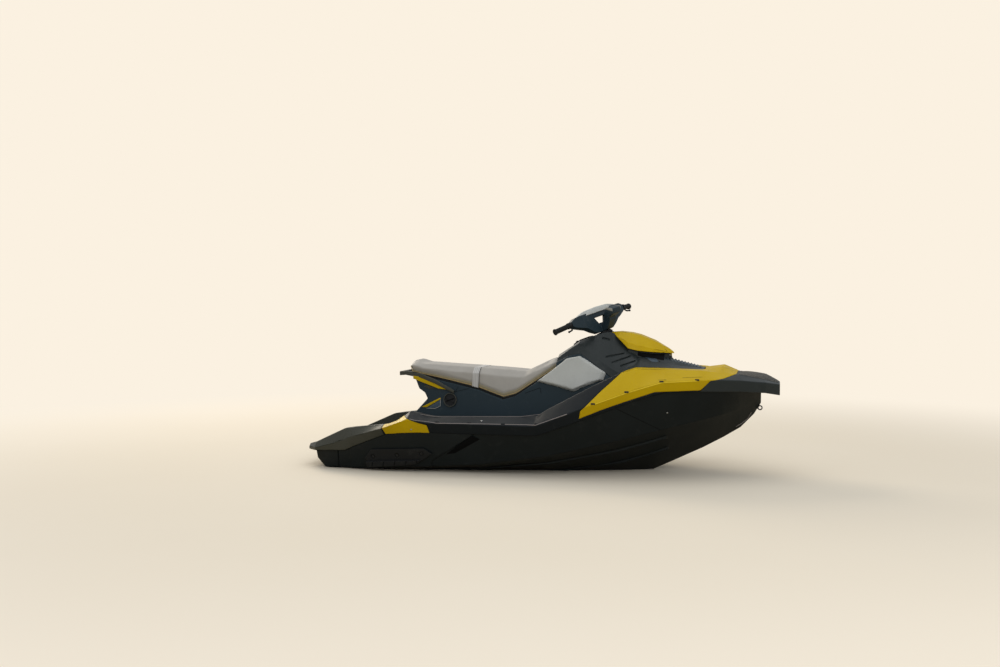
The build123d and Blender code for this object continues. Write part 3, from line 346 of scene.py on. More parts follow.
# %% Grip rubber
BLOOM_MM = 14.3
grip_rubber, shader, place = start_finish("rubber_moulded_black", IOR=1.52, Specular_IOR_Level=0.35)
bloom = add(grip_rubber, "TexNoise", Vector=place, Scale=1000 / BLOOM_MM, Detail=5.0)
tone = add(
    grip_rubber, "Mix", COLOUR, _0=bloom.outputs["Fac"], _6=linear("#17181A"), _7=linear("#232425"))
dull = add(grip_rubber, "MapRange", Value=bloom.outputs["Fac"], To_Min=0.62, To_Max=0.82)
skin = add(grip_rubber, "Bump", Height=bloom.outputs["Fac"], Distance=0.0003, Strength=0.4)
feed(grip_rubber, shader, Base_Color=tone.outputs[2], Roughness=dull.outputs[0], Normal=skin.outputs[0])
print("grip rubber ready")

# %% Gauge window
SMEAR_MM = 18.2
window, shader, place = start_finish(
    "polycarbonate_hard_coated", IOR=1.58, Coat_Weight=0.6, Coat_Roughness=0.05)
smear = add(window, "TexNoise", Vector=place, Scale=1000 / SMEAR_MM, Detail=4.0)
tone = add(window, "Mix", COLOUR, _0=smear.outputs["Fac"], _6=linear("#07090B"), _7=linear("#10151A"))
dull = add(
    window, "MapRange", Value=smear.outputs["Fac"], From_Min=0.35, From_Max=0.7, To_Min=0.08, To_Max=0.2)
feed(window, shader, Base_Color=tone.outputs[2], Roughness=dull.outputs[0])
print("window ready")

# %% [markdown]
# ## Metals
# The pump is cast aluminium, blasted and then machined only where it seals, so it is grey
# and slightly rough. Eyes, pins, shaft and impeller are stainless steel, the bar is steel
# with a powder coat, and the engine block is raw casting.

# %% Metals
STAIN_MM = 45.5


def metal(name, colour, dark_colour, rough, grain_mm, depth, stretch=(1, 1, 1), metallic=1.0):
    """Metal or coated metal. Its marks are stretched by a factor along each axis."""
    material, shader, place = start_finish(name, Metallic=metallic)
    drawn = add(material, "Mapping", Vector=place, Scale=stretch)
    marks = add(material, "TexNoise", Vector=drawn.outputs[0], Scale=1000 / grain_mm, Detail=4.0)
    stain = add(material, "TexNoise", Vector=place, Scale=1000 / STAIN_MM, Detail=6.0, Roughness=0.65)
    dull = add(material, "MapRange", Value=stain.outputs["Fac"], From_Min=0.45, From_Max=0.72)
    tone = add(material, "Mix", COLOUR, _0=dull.outputs[0], _6=linear(colour), _7=linear(dark_colour))
    gloss = add(
        material, "MapRange", Value=marks.outputs["Fac"], From_Min=0.3, From_Max=0.7,
        To_Min=rough - 0.08, To_Max=rough + 0.12)
    bump = add(material, "Bump", Height=marks.outputs["Fac"], Distance=depth, Strength=0.5)
    feed(material, shader, Base_Color=tone.outputs[2], Roughness=gloss.outputs[0], Normal=bump.outputs[0])
    print("metal", name)
    return material


cast_aluminium = metal("aluminium_cast_blasted", "#A9ACAF", "#8C8F92", 0.46, 2.5, 0.0003)
stainless = metal(
    "stainless_steel_brushed", "#C4C5C6", "#A6A8AA", 0.26, 3.0, 0.00008, stretch=(1, 8, 8))
cast_stainless = metal("stainless_steel_cast", "#4C4D4E", "#3A3B3C", 0.55, 2.5, 0.0002)
engine_casting = metal("aluminium_raw_casting", "#7E8082", "#5F6163", 0.58, 4.0, 0.0005)
coated_steel = metal(
    "steel_powder_coated_black", "#1B1C1D", "#262728", 0.45, 2.0, 0.00015, metallic=0.0)

# %% [markdown]
# ## Handing over a piece
# Every new piece goes the same way: a bmesh becomes an object, gets its finish, is shaded
# smooth with sharp creases kept, and rides on the body it belongs to.

# %% Making and placing a piece
JOIN_GAP = 0.02 * MM    # the frame's loose triangles meet within this
FLAT = 0.6              # degrees, and faces that differ by less are one


def dress(made, material, body, slot, sharp=38.0):
    """Finish, smooth and hand over a piece."""
    made.data.materials.clear()
    made.data.materials.append(material)
    made.data.shade_smooth()
    made.data.set_sharp_from_angle(angle=math.radians(sharp))
    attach(made, body)


def piece_from(bm, name):
    """Turn a bmesh into an object in the scene."""
    mesh = bpy.data.meshes.new(name)
    bm.to_mesh(mesh)
    bm.free()
    made = bpy.data.objects.new(name, mesh)
    bpy.context.scene.collection.objects.link(made)
    return made


def merged_copy(node):
    """A node's mesh with its loose triangles joined to a skin and flat faces made whole."""
    bm = bmesh.new()
    bm.from_mesh(nodes[node].data)
    bmesh.ops.remove_doubles(bm, verts=bm.verts, dist=JOIN_GAP)
    bmesh.ops.dissolve_limit(bm, angle_limit=math.radians(FLAT), verts=bm.verts, edges=bm.edges)
    return bm


def corners_over(bm, degrees):
    """Edges where two faces turn by more than an angle."""
    limit = math.radians(degrees)
    return [e for e in bm.edges if len(e.link_faces) == 2 and e.calc_face_angle() > limit]


def round_off(bm, edges, radius, clamp):
    """Bevel edges to a radius in metres."""
    bmesh.ops.bevel(
        bm, geom=edges, offset=radius, offset_type="OFFSET", segments=2, profile=0.5,
        affect="EDGES", clamp_overlap=clamp, material=-1)


print("the hull's node holds", len(nodes["hull"].data.polygons), "triangles")

# %% [markdown]
# ## Small corrections of form
# Three forms are set right before they are eased. The handle is a deeper moulding than its
# CAD bar and rises aft, the colour wing under it is a thin crescent, and the ribs on the
# hood stand a little taller. Each correction is an amount that changes along X.

# %% Corrections
# Columns: x, then a height or a change of height, in mm
HANDLE_MIDDLE = [(-945, 599), (-902, 601), (-800, 581), (-690, 545), (-556, 493)]
HANDLE_DEEPER = [(-945, 6), (-700, 8), (-556, 0)]
HANDLE_RISE = [(-945, 8), (-875, 14), (-800, 20), (-730, 22), (-650, 12), (-556, 0)]
HANDLE_LONGER = (-800, 1.18)        # where the stretch starts, and its factor
WING_MIDDLE = [(-828, 560), (-800, 552), (-690, 520), (-612, 497)]
WING_THINNER = [(-828, -12), (-612, -4)]
WING_LONGER = (-740, 1.3)
HOOD_TOP = [(600, 722), (672, 748), (762, 737), (876, 708), (1029, 672), (1062, 664)]
RIB_FOOT = 2.6          # what stands higher than this over the hood is a rib's crest
RIB_TALLER = [(792, 7), (1036, 5)]


def on_table(rows, x):
    """Values of a table at x, straight between its rows, in the rows' units."""
    x = min(max(x, rows[0][0]), rows[-1][0])
    for (x0, *a), (x1, *b) in zip(rows, rows[1:]):
        if x <= x1:
            t = (x - x0) / (x1 - x0)
            return [p + t * (q - p) for p, q in zip(a, b)]


def deepen(bm, middle, amount):
    """Move what lies below a middle line down by an amount that changes along X."""
    for vertex in bm.verts:
        x, _, z = vertex.co / MM
        if z < on_table(middle, x)[0]:
            vertex.co.z -= on_table(amount, x)[0] * MM


def lift(bm, amount, above=0.0, ground=((0, 0), (1, 0))):
    """Raise what stands higher than a ground line by an amount that changes along X."""
    for vertex in bm.verts:
        x, _, z = vertex.co / MM
        if z > on_table(ground, x)[0] + above:
            vertex.co.z += on_table(amount, x)[0] * MM


def reach_aft(bm, fixed_x, factor):
    """Stretch what lies aft of a place along X."""
    for vertex in bm.verts:
        if vertex.co.x < fixed_x * MM:
            vertex.co.x = fixed_x * MM + (vertex.co.x - fixed_x * MM) * factor


def correct(node, bm):
    """Set a node's form right where its CAD shape falls short."""
    if node == "grab_handle":
        deepen(bm, HANDLE_MIDDLE, HANDLE_DEEPER)
        lift(bm, HANDLE_RISE)
        reach_aft(bm, *HANDLE_LONGER)
    if node == "handle_wings":
        deepen(bm, WING_MIDDLE, WING_THINNER)
        lift(bm, HANDLE_RISE)
        reach_aft(bm, *WING_LONGER)
    if node == "hood_ribs":
        lift(bm, RIB_TALLER, RIB_FOOT, HOOD_TOP)


print("the handle rises by up to", max(rise for _, rise in HANDLE_RISE), "mm")

# %% [markdown]
# ## Easing the moulded edges
# A moulding never has a knife edge: the tool's corners are radiused by a few millimetres,
# and that radius is what draws the bright lines along the rim and the panel edges. Each
# rigid form is copied from its CAD node, its triangles merged back to faces, and its
# corners bevelled. Where a small form leaves the bevel no room, a corner could shoot past
# the surface, so every point that ends up too far from the CAD skin is laid back on it.

# %% Easing
CORNER = 12.0           # degrees, and sharper corners are eased
SLIVER = 0.6 * MM       # shorter edges are closed up first
STRAY = 0.6             # share of the radius that a point may stand off the CAD skin
MEET = 0.05 * MM        # points of the bevel that are closer than this are one


def ease(node, radius, finish, slot):
    """Stand an eased copy in for a CAD node. The radius is in mm."""
    bm = merged_copy(node)
    correct(node, bm)
    bmesh.ops.dissolve_degenerate(bm, dist=SLIVER, edges=bm.edges)
    skin = BVHTree.FromBMesh(bm)
    corners = corners_over(bm, CORNER)
    round_off(bm, corners, radius * MM, False)
    laid_back = 0
    for vertex in bm.verts:
        near, _, _, gap = skin.find_nearest(vertex.co)
        if gap > STRAY * radius * MM:
            vertex.co = near
            laid_back += 1
    bmesh.ops.remove_doubles(bm, verts=bm.verts, dist=MEET)
    made = piece_from(bm, node + "_moulding")
    dress(made, finish, nodes[node]["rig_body"], slot)
    level = made.modifiers.new("even shading", "WEIGHTED_NORMAL")
    level.keep_sharp = True
    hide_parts(node)
    print(node, len(corners), "corners,", laid_back, "laid back,", len(made.data.polygons), "faces")


# %% Eased forms
# Columns: node, corner radius in mm, finish, slot
EASED = [
    ("hull", 4.0, hull_moulding, "hull_composite"),
    ("deck", 4.5, deck_moulding, "blue_grey_plastic"),
    ("centre_tower", 5.0, slate_dark_moulding, "blue_grey_plastic"),
    ("steering_console", 2.5, slate_moulding, "blue_grey_plastic"),
    ("hood", 2.5, slate_moulding, "blue_grey_plastic"),
    ("hood_ribs", 1.2, slate_dark_moulding, "black_plastic"),
    ("bow_panel_port", 5.0, yellow_moulding, "yellow_plastic"),
    ("bow_panel_starboard", 5.0, yellow_moulding, "yellow_plastic"),
    ("rear_accent_port", 3.0, yellow_moulding, "yellow_plastic"),
    ("rear_accent_starboard", 3.0, yellow_moulding, "yellow_plastic"),
    ("tail_fairing_port", 4.0, fairing_moulding, "black_plastic"),
    ("tail_fairing_starboard", 4.0, fairing_moulding, "black_plastic"),
    ("bow_bumper", 4.0, slate_moulding, "black_plastic"),
    ("storage_lid", 3.0, yellow_moulding, "yellow_plastic"),
    ("grab_handle", 5.0, fairing_moulding, "black_plastic"),
    ("handle_wings", 2.0, yellow_moulding, "yellow_plastic"),
    ("side_covers", 1.5, black_moulding, "black_plastic"),
    ("bar_cover", 3.0, slate_dark_moulding, "black_plastic"),
    ("sponson_port", 3.0, black_moulding, "black_plastic"),
    ("sponson_starboard", 3.0, black_moulding, "black_plastic"),
    ("bow_eye", 2.0, cast_stainless, "stainless"),
    ("stern_eyes", 2.0, cast_stainless, "stainless"),
    ("platform_mat", 2.0, mat_foam, "mat_foam"),
    ("footwell_mats", 2.0, mat_foam, "mat_foam"),
    ("ride_plate", 2.0, cast_aluminium, "cast_aluminium"),
]
for row in EASED:
    ease(*row)

# %% [markdown]
# ## Pieces whose CAD shape is already right
# Turned, bent and cast metal needs no new geometry, and neither do a few small mouldings:
# the node stays and only its finish changes. A material goes in the node's slots, and the
# mesh isn't touched.

# %% Finish the other nodes
KEPT = {
    "drive_shaft": stainless, "drain_plugs": black_moulding, "engine_block": engine_casting,
    "handlebar": coated_steel, "steering_stem": coated_steel, "impeller": stainless,
    "intake_grate": cast_aluminium, "lid_hinge_pin": stainless, "pump_housing": cast_aluminium,
    "reverse_gate": cast_aluminium, "seat_pan": black_moulding, "steering_neck": black_moulding,
    "steering_nozzle": cast_aluminium, "storage_bin": black_moulding, "display": window,
    "levers": black_moulding,
}
for name, finish in KEPT.items():
    nodes[name].data.materials.clear()
    nodes[name].data.materials.append(finish)
print(len(KEPT), "nodes finished in place")

# %% [markdown]
# ## The padded saddle
# The saddle is foam under stretched vinyl: crowned on top, drawn in at its lower edge. The
# CAD solid gives the space it fills. A copy is shrunk a little, remeshed to an even grid,
# and inflated with cloth simulation, capped so that it can't leave its place.

# %% Padding helpers
AIR_STEPS = 20
STIFFNESS = 20.0
SKIN_MASS = 0.3


def apply_modifiers(made):
    """Bake an object's modifiers into its mesh."""
    graph = bpy.context.evaluated_depsgraph_get()
    baked = bpy.data.meshes.new_from_object(made.evaluated_get(graph))
    made.modifiers.clear()
    made.data = baked


def voxel_skin(made, size):
    """Rebuild a mesh on an even grid."""
    remesh = made.modifiers.new("grid", "REMESH")
    remesh.mode = "VOXEL"
    remesh.voxel_size = size
    apply_modifiers(made)


def relax(bm, rounds):
    """Soften a mesh's corners evenly."""
    for _ in range(rounds):
        bmesh.ops.smooth_vert(
            bm, verts=bm.verts, factor=0.5, use_axis_x=True, use_axis_y=True, use_axis_z=True)


def inflate(made, pressure, cap):
    """Blow the skin up with cloth, then limit how far each point has moved."""
    before = [v.co.copy() for v in made.data.vertices]
    cloth = made.modifiers.new("air", "CLOTH")
    cloth.settings.use_pressure = True
    cloth.settings.uniform_pressure_force = pressure
    cloth.settings.effector_weights.gravity = 0.0
    cloth.settings.tension_stiffness = STIFFNESS
    cloth.settings.compression_stiffness = STIFFNESS
    cloth.settings.mass = SKIN_MASS
    for step in range(1, AIR_STEPS + 1):
        bpy.context.scene.frame_set(step)
    apply_modifiers(made)
    bpy.context.scene.frame_set(1)
    for vertex, start in zip(made.data.vertices, before):
        move = vertex.co - start
        if move.length > cap:
            vertex.co = start + move.normalized() * cap


def padded_from(node, name, inset, voxel, rounds, pressure, cap):
    """A stuffed piece in the space of a CAD solid, with lengths in metres."""
    made = piece_from(merged_copy(node), name)
    voxel_skin(made, voxel)
    bm = bmesh.new()
    bm.from_mesh(made.data)
    bm.normal_update()
    for vertex in bm.verts:
        vertex.co = vertex.co - vertex.normal * inset
    relax(bm, rounds)
    bm.to_mesh(made.data)
    bm.free()
    inflate(made, pressure, cap)
    return made


print("cloth is", "simulated")

# %% [markdown]
# ## The seat's edge and tail
# One table follows the cushion's lower edge, because the cover's tuck and, later, the
# binding both lie along it. The tail is drawn out to a ridge with a pointed, flat tip, by
# one function that the cushion and the binding share.

# %% Seat edge and tail
# Columns: x, half width, height of the cushion's lower edge
SEAT_EDGE = [
    (-858, 112, 644), (-845, 138, 622), (-800, 156, 609), (-615, 178, 575), (-434, 190, 536),
    (-389, 193, 526), (-222, 200, 468), (-139, 196, 492), (-88, 191, 525), (14, 176, 593),
    (95, 158, 648), (122, 150, 663),
]
TAIL_X = (-800.0, -845.0, -862.0)       # the tail's root, crest and tip
TAIL_LONGER = 1.5
CREST_NARROWER = 0.4
CREST_SPAN = 40.0       # the narrowing grows over this height
TIP_HEIGHT, TIP_FLATTER = 660.0, 0.6


def share(value, start, end):
    """How far a value has come from start to end, between 0 and 1."""
    return min(max((value - start) / (end - start), 0), 1)


def shape_tail(co):
    """Draw the seat's tail out to a ridge with a pointed tip."""
    x, y, z = co / MM
    root, crest, tip = TAIL_X
    y *= 1 - CREST_NARROWER * share(z, TIP_HEIGHT, TIP_HEIGHT + CREST_SPAN) * share(x, root, crest)
    z = TIP_HEIGHT + (z - TIP_HEIGHT) * (1 - TIP_FLATTER * share(x, crest, tip))
    if x < root:
        x = root + (x - root) * TAIL_LONGER
    return Vector((x, y, z)) * MM


print("tail drawn out by", round((TAIL_X[0] - TAIL_X[2]) * (TAIL_LONGER - 1)), "mm")

# %% Saddle
TUCK_HEIGHT = 34.0      # the cover turns under over this height
TUCK_IN = 13.0
saddle = padded_from(
    "seat_cushion", "saddle", inset=0.002, voxel=0.0075, rounds=2, pressure=4.0, cap=0.004)
for vertex in saddle.data.vertices:
    width, bottom = on_table(SEAT_EDGE, vertex.co.x / MM)
    tucked = share(vertex.co.z / MM, bottom + TUCK_HEIGHT, bottom)
    vertex.co.y *= 1 - tucked * TUCK_IN / width
    vertex.co = shape_tail(vertex.co)
print("saddle", len(saddle.data.polygons), "faces before subdivision")
fine = saddle.modifiers.new("fine", "SUBSURF")
fine.levels = 1
fine.render_levels = 1
dress(saddle, seat_vinyl, "craft", "seat_vinyl", sharp=60.0)
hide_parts("seat_cushion")

# %% [markdown]
# ## Knee and crash pads
# These are firmer than the saddle. They get the same treatment with a smaller inset, so
# that the bevelled rim the mould gives them stays readable.

# %% Pads
for node in ("knee_pad_port", "knee_pad_starboard", "bar_pad"):
    pad = padded_from(
        node, node + "_skin", inset=0.001, voxel=0.004, rounds=2, pressure=3.0, cap=0.003)
    dress(pad, foam_skin, nodes[node]["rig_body"], "foam_pad", sharp=60.0)
    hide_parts(node)
    print(node, len(pad.data.polygons), "faces")

# %% Band round the seat
BAND_LIFT = 1.5 * MM    # the band lies over the swollen vinyl
BAND_ROUND = 1.5 * MM
bm = merged_copy("seat_strap")
round_off(bm, corners_over(bm, 20.0), BAND_ROUND, True)
bm.normal_update()
for vertex in bm.verts:
    vertex.co = vertex.co + vertex.normal * BAND_LIFT
band = piece_from(bm, "seat_band")
dress(band, webbing, "craft", "strap_webbing")
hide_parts("seat_strap")
print("band", len(band.data.polygons), "faces")

# %% [markdown]
# ## Small parts: how they are made and where they go
# Fasteners, clips, beads and embossed ribs are a few shapes repeated many times. A turned
# profile spun round an axis gives screws and grips, a thick plate with eased edges gives
# clips and ribs. Each is copied to frames laid on the CAD surface by shooting a ray at it,
# so a screw sits flat on whatever it holds down.

# %% Shapes


def turned(points, steps=20):
    """Body of revolution round X, from (along, radius) points in mm."""
    bm = bmesh.new()
    row = [bm.verts.new((along * MM, radius * MM, 0.0)) for along, radius in points]
    edges = [bm.edges.new(pair) for pair in zip(row, row[1:])]
    bmesh.ops.spin(
        bm, geom=row + edges, cent=(0, 0, 0), axis=(1, 0, 0), angle=2 * math.pi, steps=steps,
        use_merge=True)
    bmesh.ops.remove_doubles(bm, verts=bm.verts, dist=0.01 * MM)
    bmesh.ops.recalc_face_normals(bm, faces=bm.faces)
    return bm


def thick_plate(corners, thick, eased_mm, segments=2):
    """Solid from a flat outline in mm, thickened by a vector in mm, with eased edges."""
    bm = bmesh.new()
    face = bm.faces.new([bm.verts.new(Vector(c) * MM) for c in corners])
    grown = bmesh.ops.extrude_face_region(bm, geom=[face], use_keep_orig=True)
    lifted = [g for g in grown["geom"] if isinstance(g, bmesh.types.BMVert)]
    bmesh.ops.translate(bm, verts=lifted, vec=Vector(thick) * MM)
    bmesh.ops.recalc_face_normals(bm, faces=bm.faces)
    bmesh.ops.bevel(
        bm, geom=bm.edges[:], offset=eased_mm * MM, offset_type="OFFSET", segments=segments,
        profile=0.5, affect="EDGES", clamp_overlap=True, material=-1)
    return bm


def bar_on(length, width, height, eased_mm, segments=1):
    """Low bar for a surface: X out of it, Y along the bar, sunk by its own height."""
    corners = [(-height, y * length / 2, z * width / 2) for y, z in ((-1, -1), (1, -1), (1, 1), (-1, 1))]
    return thick_plate(corners, (2 * height, 0, 0), eased_mm, segments)


def pour(whole, part):
    """Add one bmesh to another and free it."""
    mesh = bpy.data.meshes.new("part")
    part.to_mesh(mesh)
    part.free()
    whole.from_mesh(mesh)
    bpy.data.meshes.remove(mesh)


def copies(shape, places, name, finish, body, slot):
    """One piece from a shape laid at many places."""
    whole = bmesh.new()
    for place in places:
        stamped = shape.copy()
        stamped.transform(place)
        pour(whole, stamped)
    shape.free()
    made = piece_from(whole, name)
    dress(made, finish, body, slot)
    print(name, len(places), "copies,", len(made.data.polygons), "faces")


print("shape helpers ready")

# %% Places on the surface
FORE = (1, 0, 0)
ABEAM = (0, 1, 0)
SIDES = ((1, "port"), (-1, "starboard"))
BOTH = (1, -1)
FAR = 1500.0            # rays start this far off, in mm
surfaces = {}


def hit(node, start, direction):
    """First point of a CAD node, and its normal, along a ray from a start in mm."""
    if node not in surfaces:
        mesh = nodes[node].data
        surfaces[node] = BVHTree.FromPolygons(
            [v.co for v in mesh.vertices], [p.vertices[:] for p in mesh.polygons])
    point, normal, _, _ = surfaces[node].ray_cast(Vector(start) * MM, Vector(direction))
    return point, normal


def from_side(node, x, z, side):
    """Point and normal of a node seen level from port or starboard."""
    return hit(node, (x, side * FAR, z), (0, -side, 0))


def from_above(node, x, y):
    """Point and normal of a node seen from above."""
    return hit(node, (x, y, FAR), (0, 0, -1))


def on_both_sides(stem, x, z):
    """Side, point and normal on a node, or on the pair of nodes that share its name."""
    for side, name in SIDES:
        paired = f"{stem}_{name}"
        yield side, *from_side(paired if paired in nodes else stem, x, z, side)


def frame_on(point, out, along):
    """Local axes at a point: X out of the surface, Y along it, Z across."""
    x_axis = out.normalized()
    z_axis = x_axis.cross(Vector(along)).normalized()
    y_axis = z_axis.cross(x_axis)
    place = Matrix((x_axis, y_axis, z_axis)).transposed().to_4x4()
    place.translation = point
    return place


print("the deck's rim amidships is", round(from_above("deck", 0, 500)[0].z, 3), "m over the water")

# %% [markdown]
# ## Screws and clips
# Plastic panels are held by broad pan-head screws with a hexagonal socket, and the colour
# panels' edge is pinned to the ridge of the deck by black clips every 200 mm.

# %% Screws
# Columns: along the axis, radius, in mm
SCREW = [
    (-2, 0), (-2, 4.5), (0, 5.5), (1.2, 5.5), (2.4, 4.6), (2.9, 3.2), (2.9, 2.4), (1.4, 2.0), (1.4, 0)]
BOLT = [(-2, 0), (-2, 10), (1.5, 10), (1.5, 7), (5.5, 7), (6.5, 6), (6.5, 3.6), (3, 3.2), (3, 0)]
# Columns: node or pair of nodes, x, z of the side view
SIDE_SCREWS = [("deck", -276, 345), ("rear_accent", -734, 280), ("hull", 861, 409)]
SPONSON_BOLTS = [("sponson", -1010, 92), ("sponson", -845, 105), ("sponson", -680, 122)]
HOOD_SCREW = (790, 157)


def flat_on(rows):
    """Frames flat on the surface, on both sides, for rows of node, x and z."""
    return [frame_on(point, normal, FORE) for row in rows for _, point, normal in on_both_sides(*row)]


copies(turned(SCREW), flat_on(SIDE_SCREWS), "panel_screws", stainless, "craft", "stainless")
hood_x, hood_y = HOOD_SCREW
hood_screws = [frame_on(*from_above("hood", hood_x, side * hood_y), FORE) for side in BOTH]
copies(turned(SCREW), hood_screws, "hood_screws", coated_steel, "craft", "black_steel")
copies(turned(BOLT), flat_on(SPONSON_BOLTS), "sponson_bolts", coated_steel, "craft", "black_steel")

# %% Ridge clips
CLIP = (26.0, 10.0, 4.5)         # long, wide, proud
CLIP_UP = 6.0                    # its middle over the ridge
CLIP_OUT = (0.9, 0.45)           # outwards and up
# Columns: x, z of the ridge
DECK_RIDGE = [(-560, 326), (-348, 326), (-132, 325), (77, 331)]
PANEL_RIDGE = [(428, 463), (629, 537), (833, 599), (1040, 607)]
clip_places = []
for stem, ridge in (("deck", DECK_RIDGE), ("bow_panel", PANEL_RIDGE)):
    for x, z in ridge:
        for side, point, _ in on_both_sides(stem, x, z + CLIP_UP):
            outward = Vector((0, side * CLIP_OUT[0], CLIP_OUT[1]))
            clip_places.append(frame_on(point, outward, FORE))
clip = bar_on(*CLIP, eased_mm=2.0, segments=2)
copies(clip, clip_places, "ridge_clips", black_moulding, "craft", "black_plastic")

# %% Pump fasteners
FLANGE_X, PUMP_Z = -830.0, -12.0
FLANGE_RADIUS = 90.0
FLANGE_ANGLES = (-18, 30, 65, 115, 150, 198)
flange_places = []
for angle in FLANGE_ANGLES:
    turn = math.radians(angle)
    spot = Vector((FLANGE_X, FLANGE_RADIUS * math.cos(turn), PUMP_Z + FLANGE_RADIUS * math.sin(turn)))
    flange_places.append(frame_on(spot * MM, Vector((-1, 0, 0)), ABEAM))
copies(turned(BOLT), flange_places, "pump_flange_bolts", stainless, "craft", "stainless")

# %% [markdown]
# ## Beads, seams and creases
# Where two mouldings meet, a thin line shows: a witness line or a rubber bead. Other thin
# lines are painted light: a dark bead along a crease or groove is painted shade, and a pale
# bead along a ridge or lip is a painted highlight. Each is a fine curve with a round section,
# laid along points that are dropped on the surface, half sunk, and turned into a mesh.

# %% Bead helpers
SAME_SPOT = 0.1 * MM
THIN_LINE = 1.6         # radius of the thin beads, in mm


def bead(name, rows, radius, finish, body, slot, closed=False):
    """Round bead of a radius in mm along rows of points."""
    curve = bpy.data.curves.new(name, "CURVE")
    curve.dimensions = "3D"
    curve.bevel_depth = radius * MM
    curve.bevel_resolution = 1
    curve.use_fill_caps = True
    for row in rows:
        spline = curve.splines.new("POLY")
        spline.points.add(len(row) - 1)
        for point, place in zip(spline.points, row):
            point.co = (*place, 1.0)
        spline.use_cyclic_u = closed
    shown = bpy.data.objects.new(name + "_line", curve)
    bpy.context.scene.collection.objects.link(shown)
    mesh = bpy.data.meshes.new_from_object(shown.evaluated_get(bpy.context.evaluated_depsgraph_get()))
    bpy.data.objects.remove(shown)
    bm = bmesh.new()
    bm.from_mesh(mesh)
    bmesh.ops.remove_doubles(bm, verts=bm.verts, dist=0.001 * MM)
    bmesh.ops.recalc_face_normals(bm, faces=bm.faces)
    made = piece_from(bm, name)
    dress(made, finish, body, slot)
    print(name, len(rows), "beads,", len(made.data.polygons), "faces")


def side_row(node, points, side, steps=10):
    """Points dropped on a node's side along straight runs between (x, z) points in mm."""
    row = []
    for (x0, z0), (x1, z1) in zip(points, points[1:]):
        for i in range(steps + 1):
            t = i / steps
            found = from_side(node, x0 + t * (x1 - x0), z0 + t * (z1 - z0), side)[0]
            if found is not None and (not row or (found - row[-1]).length > SAME_SPOT):
                row.append(found)
    return row


def mirrored_row(points):
    """The same (x, y, z) points in mm on both sides, as rows in metres."""
    return [[Vector((x, side * y, z)) * MM for x, y, z in points] for side in BOTH]


print("bead helpers ready")

# %% Beads on hull, tower and deck
# Columns: name, node, (x, z) points, radius in mm, finish, slot
SIDE_BEADS = [
    # The hull crease is a dark bead of painted shade along a change of angle on the hull side
    ("hull_crease", "hull", [(566, 436), (817, 300)], THIN_LINE, seam_and_painted_shade_black, "black_plastic"),
    ("tower_seam_aft", "centre_tower", [(-559, 492), (-441, 522)], 1.3, seam_and_painted_shade_black, "black_plastic"),
    ("tower_seam_handle", "centre_tower", [(-548, 498), (-530, 528)], 1.3, seam_and_painted_shade_black, "black_plastic"),
    ("tower_seam_fore", "centre_tower", [(-71, 497), (30, 534), (38, 500)],
     1.3, seam_and_painted_shade_black, "black_plastic"),
    ("step_outline", "centre_tower", [(-752, 379), (-690, 379), (-655, 397), (-655, 447)],
     2.0, bezel_grey, "foam_pad"),
    # The stem strip is a thin pale line along the stem, in the same grey
    ("stem_strip", "hull", [(1356, 388), (1335, 348), (1299, 318), (1262, 294)],
     2.4, painted_highlight_grey, "black_plastic"),
    # The ridge bead is pale grey: a painted highlight along the deck's rounded ridge
    ("ridge_lip", "deck", [(-740, 347), (-709, 341), (-562, 327), (77, 332), (270, 404)],
     3.0, painted_highlight_grey, "blue_grey_plastic"),
]
for name, node, points, radius, finish, slot in SIDE_BEADS:
    bead(name, [side_row(node, points, side) for side in BOTH], radius, finish, "craft", slot)

# The rim bead is a painted highlight along the deck's rim
# Columns: x, half width of the deck's rim
RIM_LINE = [(-690, 507), (-560, 506), (-364, 503), (-41, 501), (90, 505)]
rim_rows = [[from_above("deck", x, side * y)[0] for x, y in RIM_LINE] for side in BOTH]
bead("rim_painted_highlight", rim_rows, THIN_LINE, painted_highlight_grey, "craft", "blue_grey_plastic")

# %% Beads on the bow panels
PANEL_HIGHLIGHT = 2.6         # radius, in mm
PANEL_STROKES = [[(812, 614), (858, 616)], [(952, 626), (1068, 629)]]
for side, name in SIDES:
    panel = "bow_panel_" + name
    # The dark strokes are painted shade in shallow grooves of the panel
    strokes = [side_row(panel, points, side) for points in PANEL_STROKES]
    bead("panel_grooves_painted_shade_" + name, strokes, THIN_LINE, painted_shade_yellow, "craft", "yellow_plastic")
    # The pale yellow ridge bead is a painted highlight
    ridge = [side_row(panel, PANEL_RIDGE, side)]
    bead("panel_ridge_painted_highlight_" + name, ridge, PANEL_HIGHLIGHT, painted_highlight_yellow, "craft", "yellow_plastic")

# %% [markdown]
# ## Seat edge strip
# A strip lies along the lower edge of the cover, over the seat's under-curve. Its beige
# colour, and the paler welt below it, are painted warm bounce light on that downward face,
# and a thin dark line along the front edge of the band is a painted shadow. The strip is
# bridged between four loops that follow the seat's edge.

# %% Binding
# Columns: drawn in from the seat's edge, height above it, in mm
BINDING_ROWS = [(9, -3), (3, 7), (-1, 16), (0, 24)]
BINDING_SHARE = [(-858, 0.55), (-700, 0.6), (-560, 1.0)]     # narrower round the tail
BINDING_THICK = 3.0
WELT = (2, 3)           # drawn in and above, as in the rows
WELT_RADIUS = 2.4


def seat_loop(bm, draw_in, rise):
    """Closed row of points round the seat, drawn in from its edge and raised above it, in mm."""
    port = [(x, y - draw_in, z + rise * on_table(BINDING_SHARE, x)[0]) for x, y, z in SEAT_EDGE]
    points = port[::-1] + [(x, -y, z) for x, y, z in port]
    row = [bm.verts.new(shape_tail(Vector(p) * MM)) for p in points]
    return [bm.edges.new(pair) for pair in zip(row, row[1:] + row[:1])]


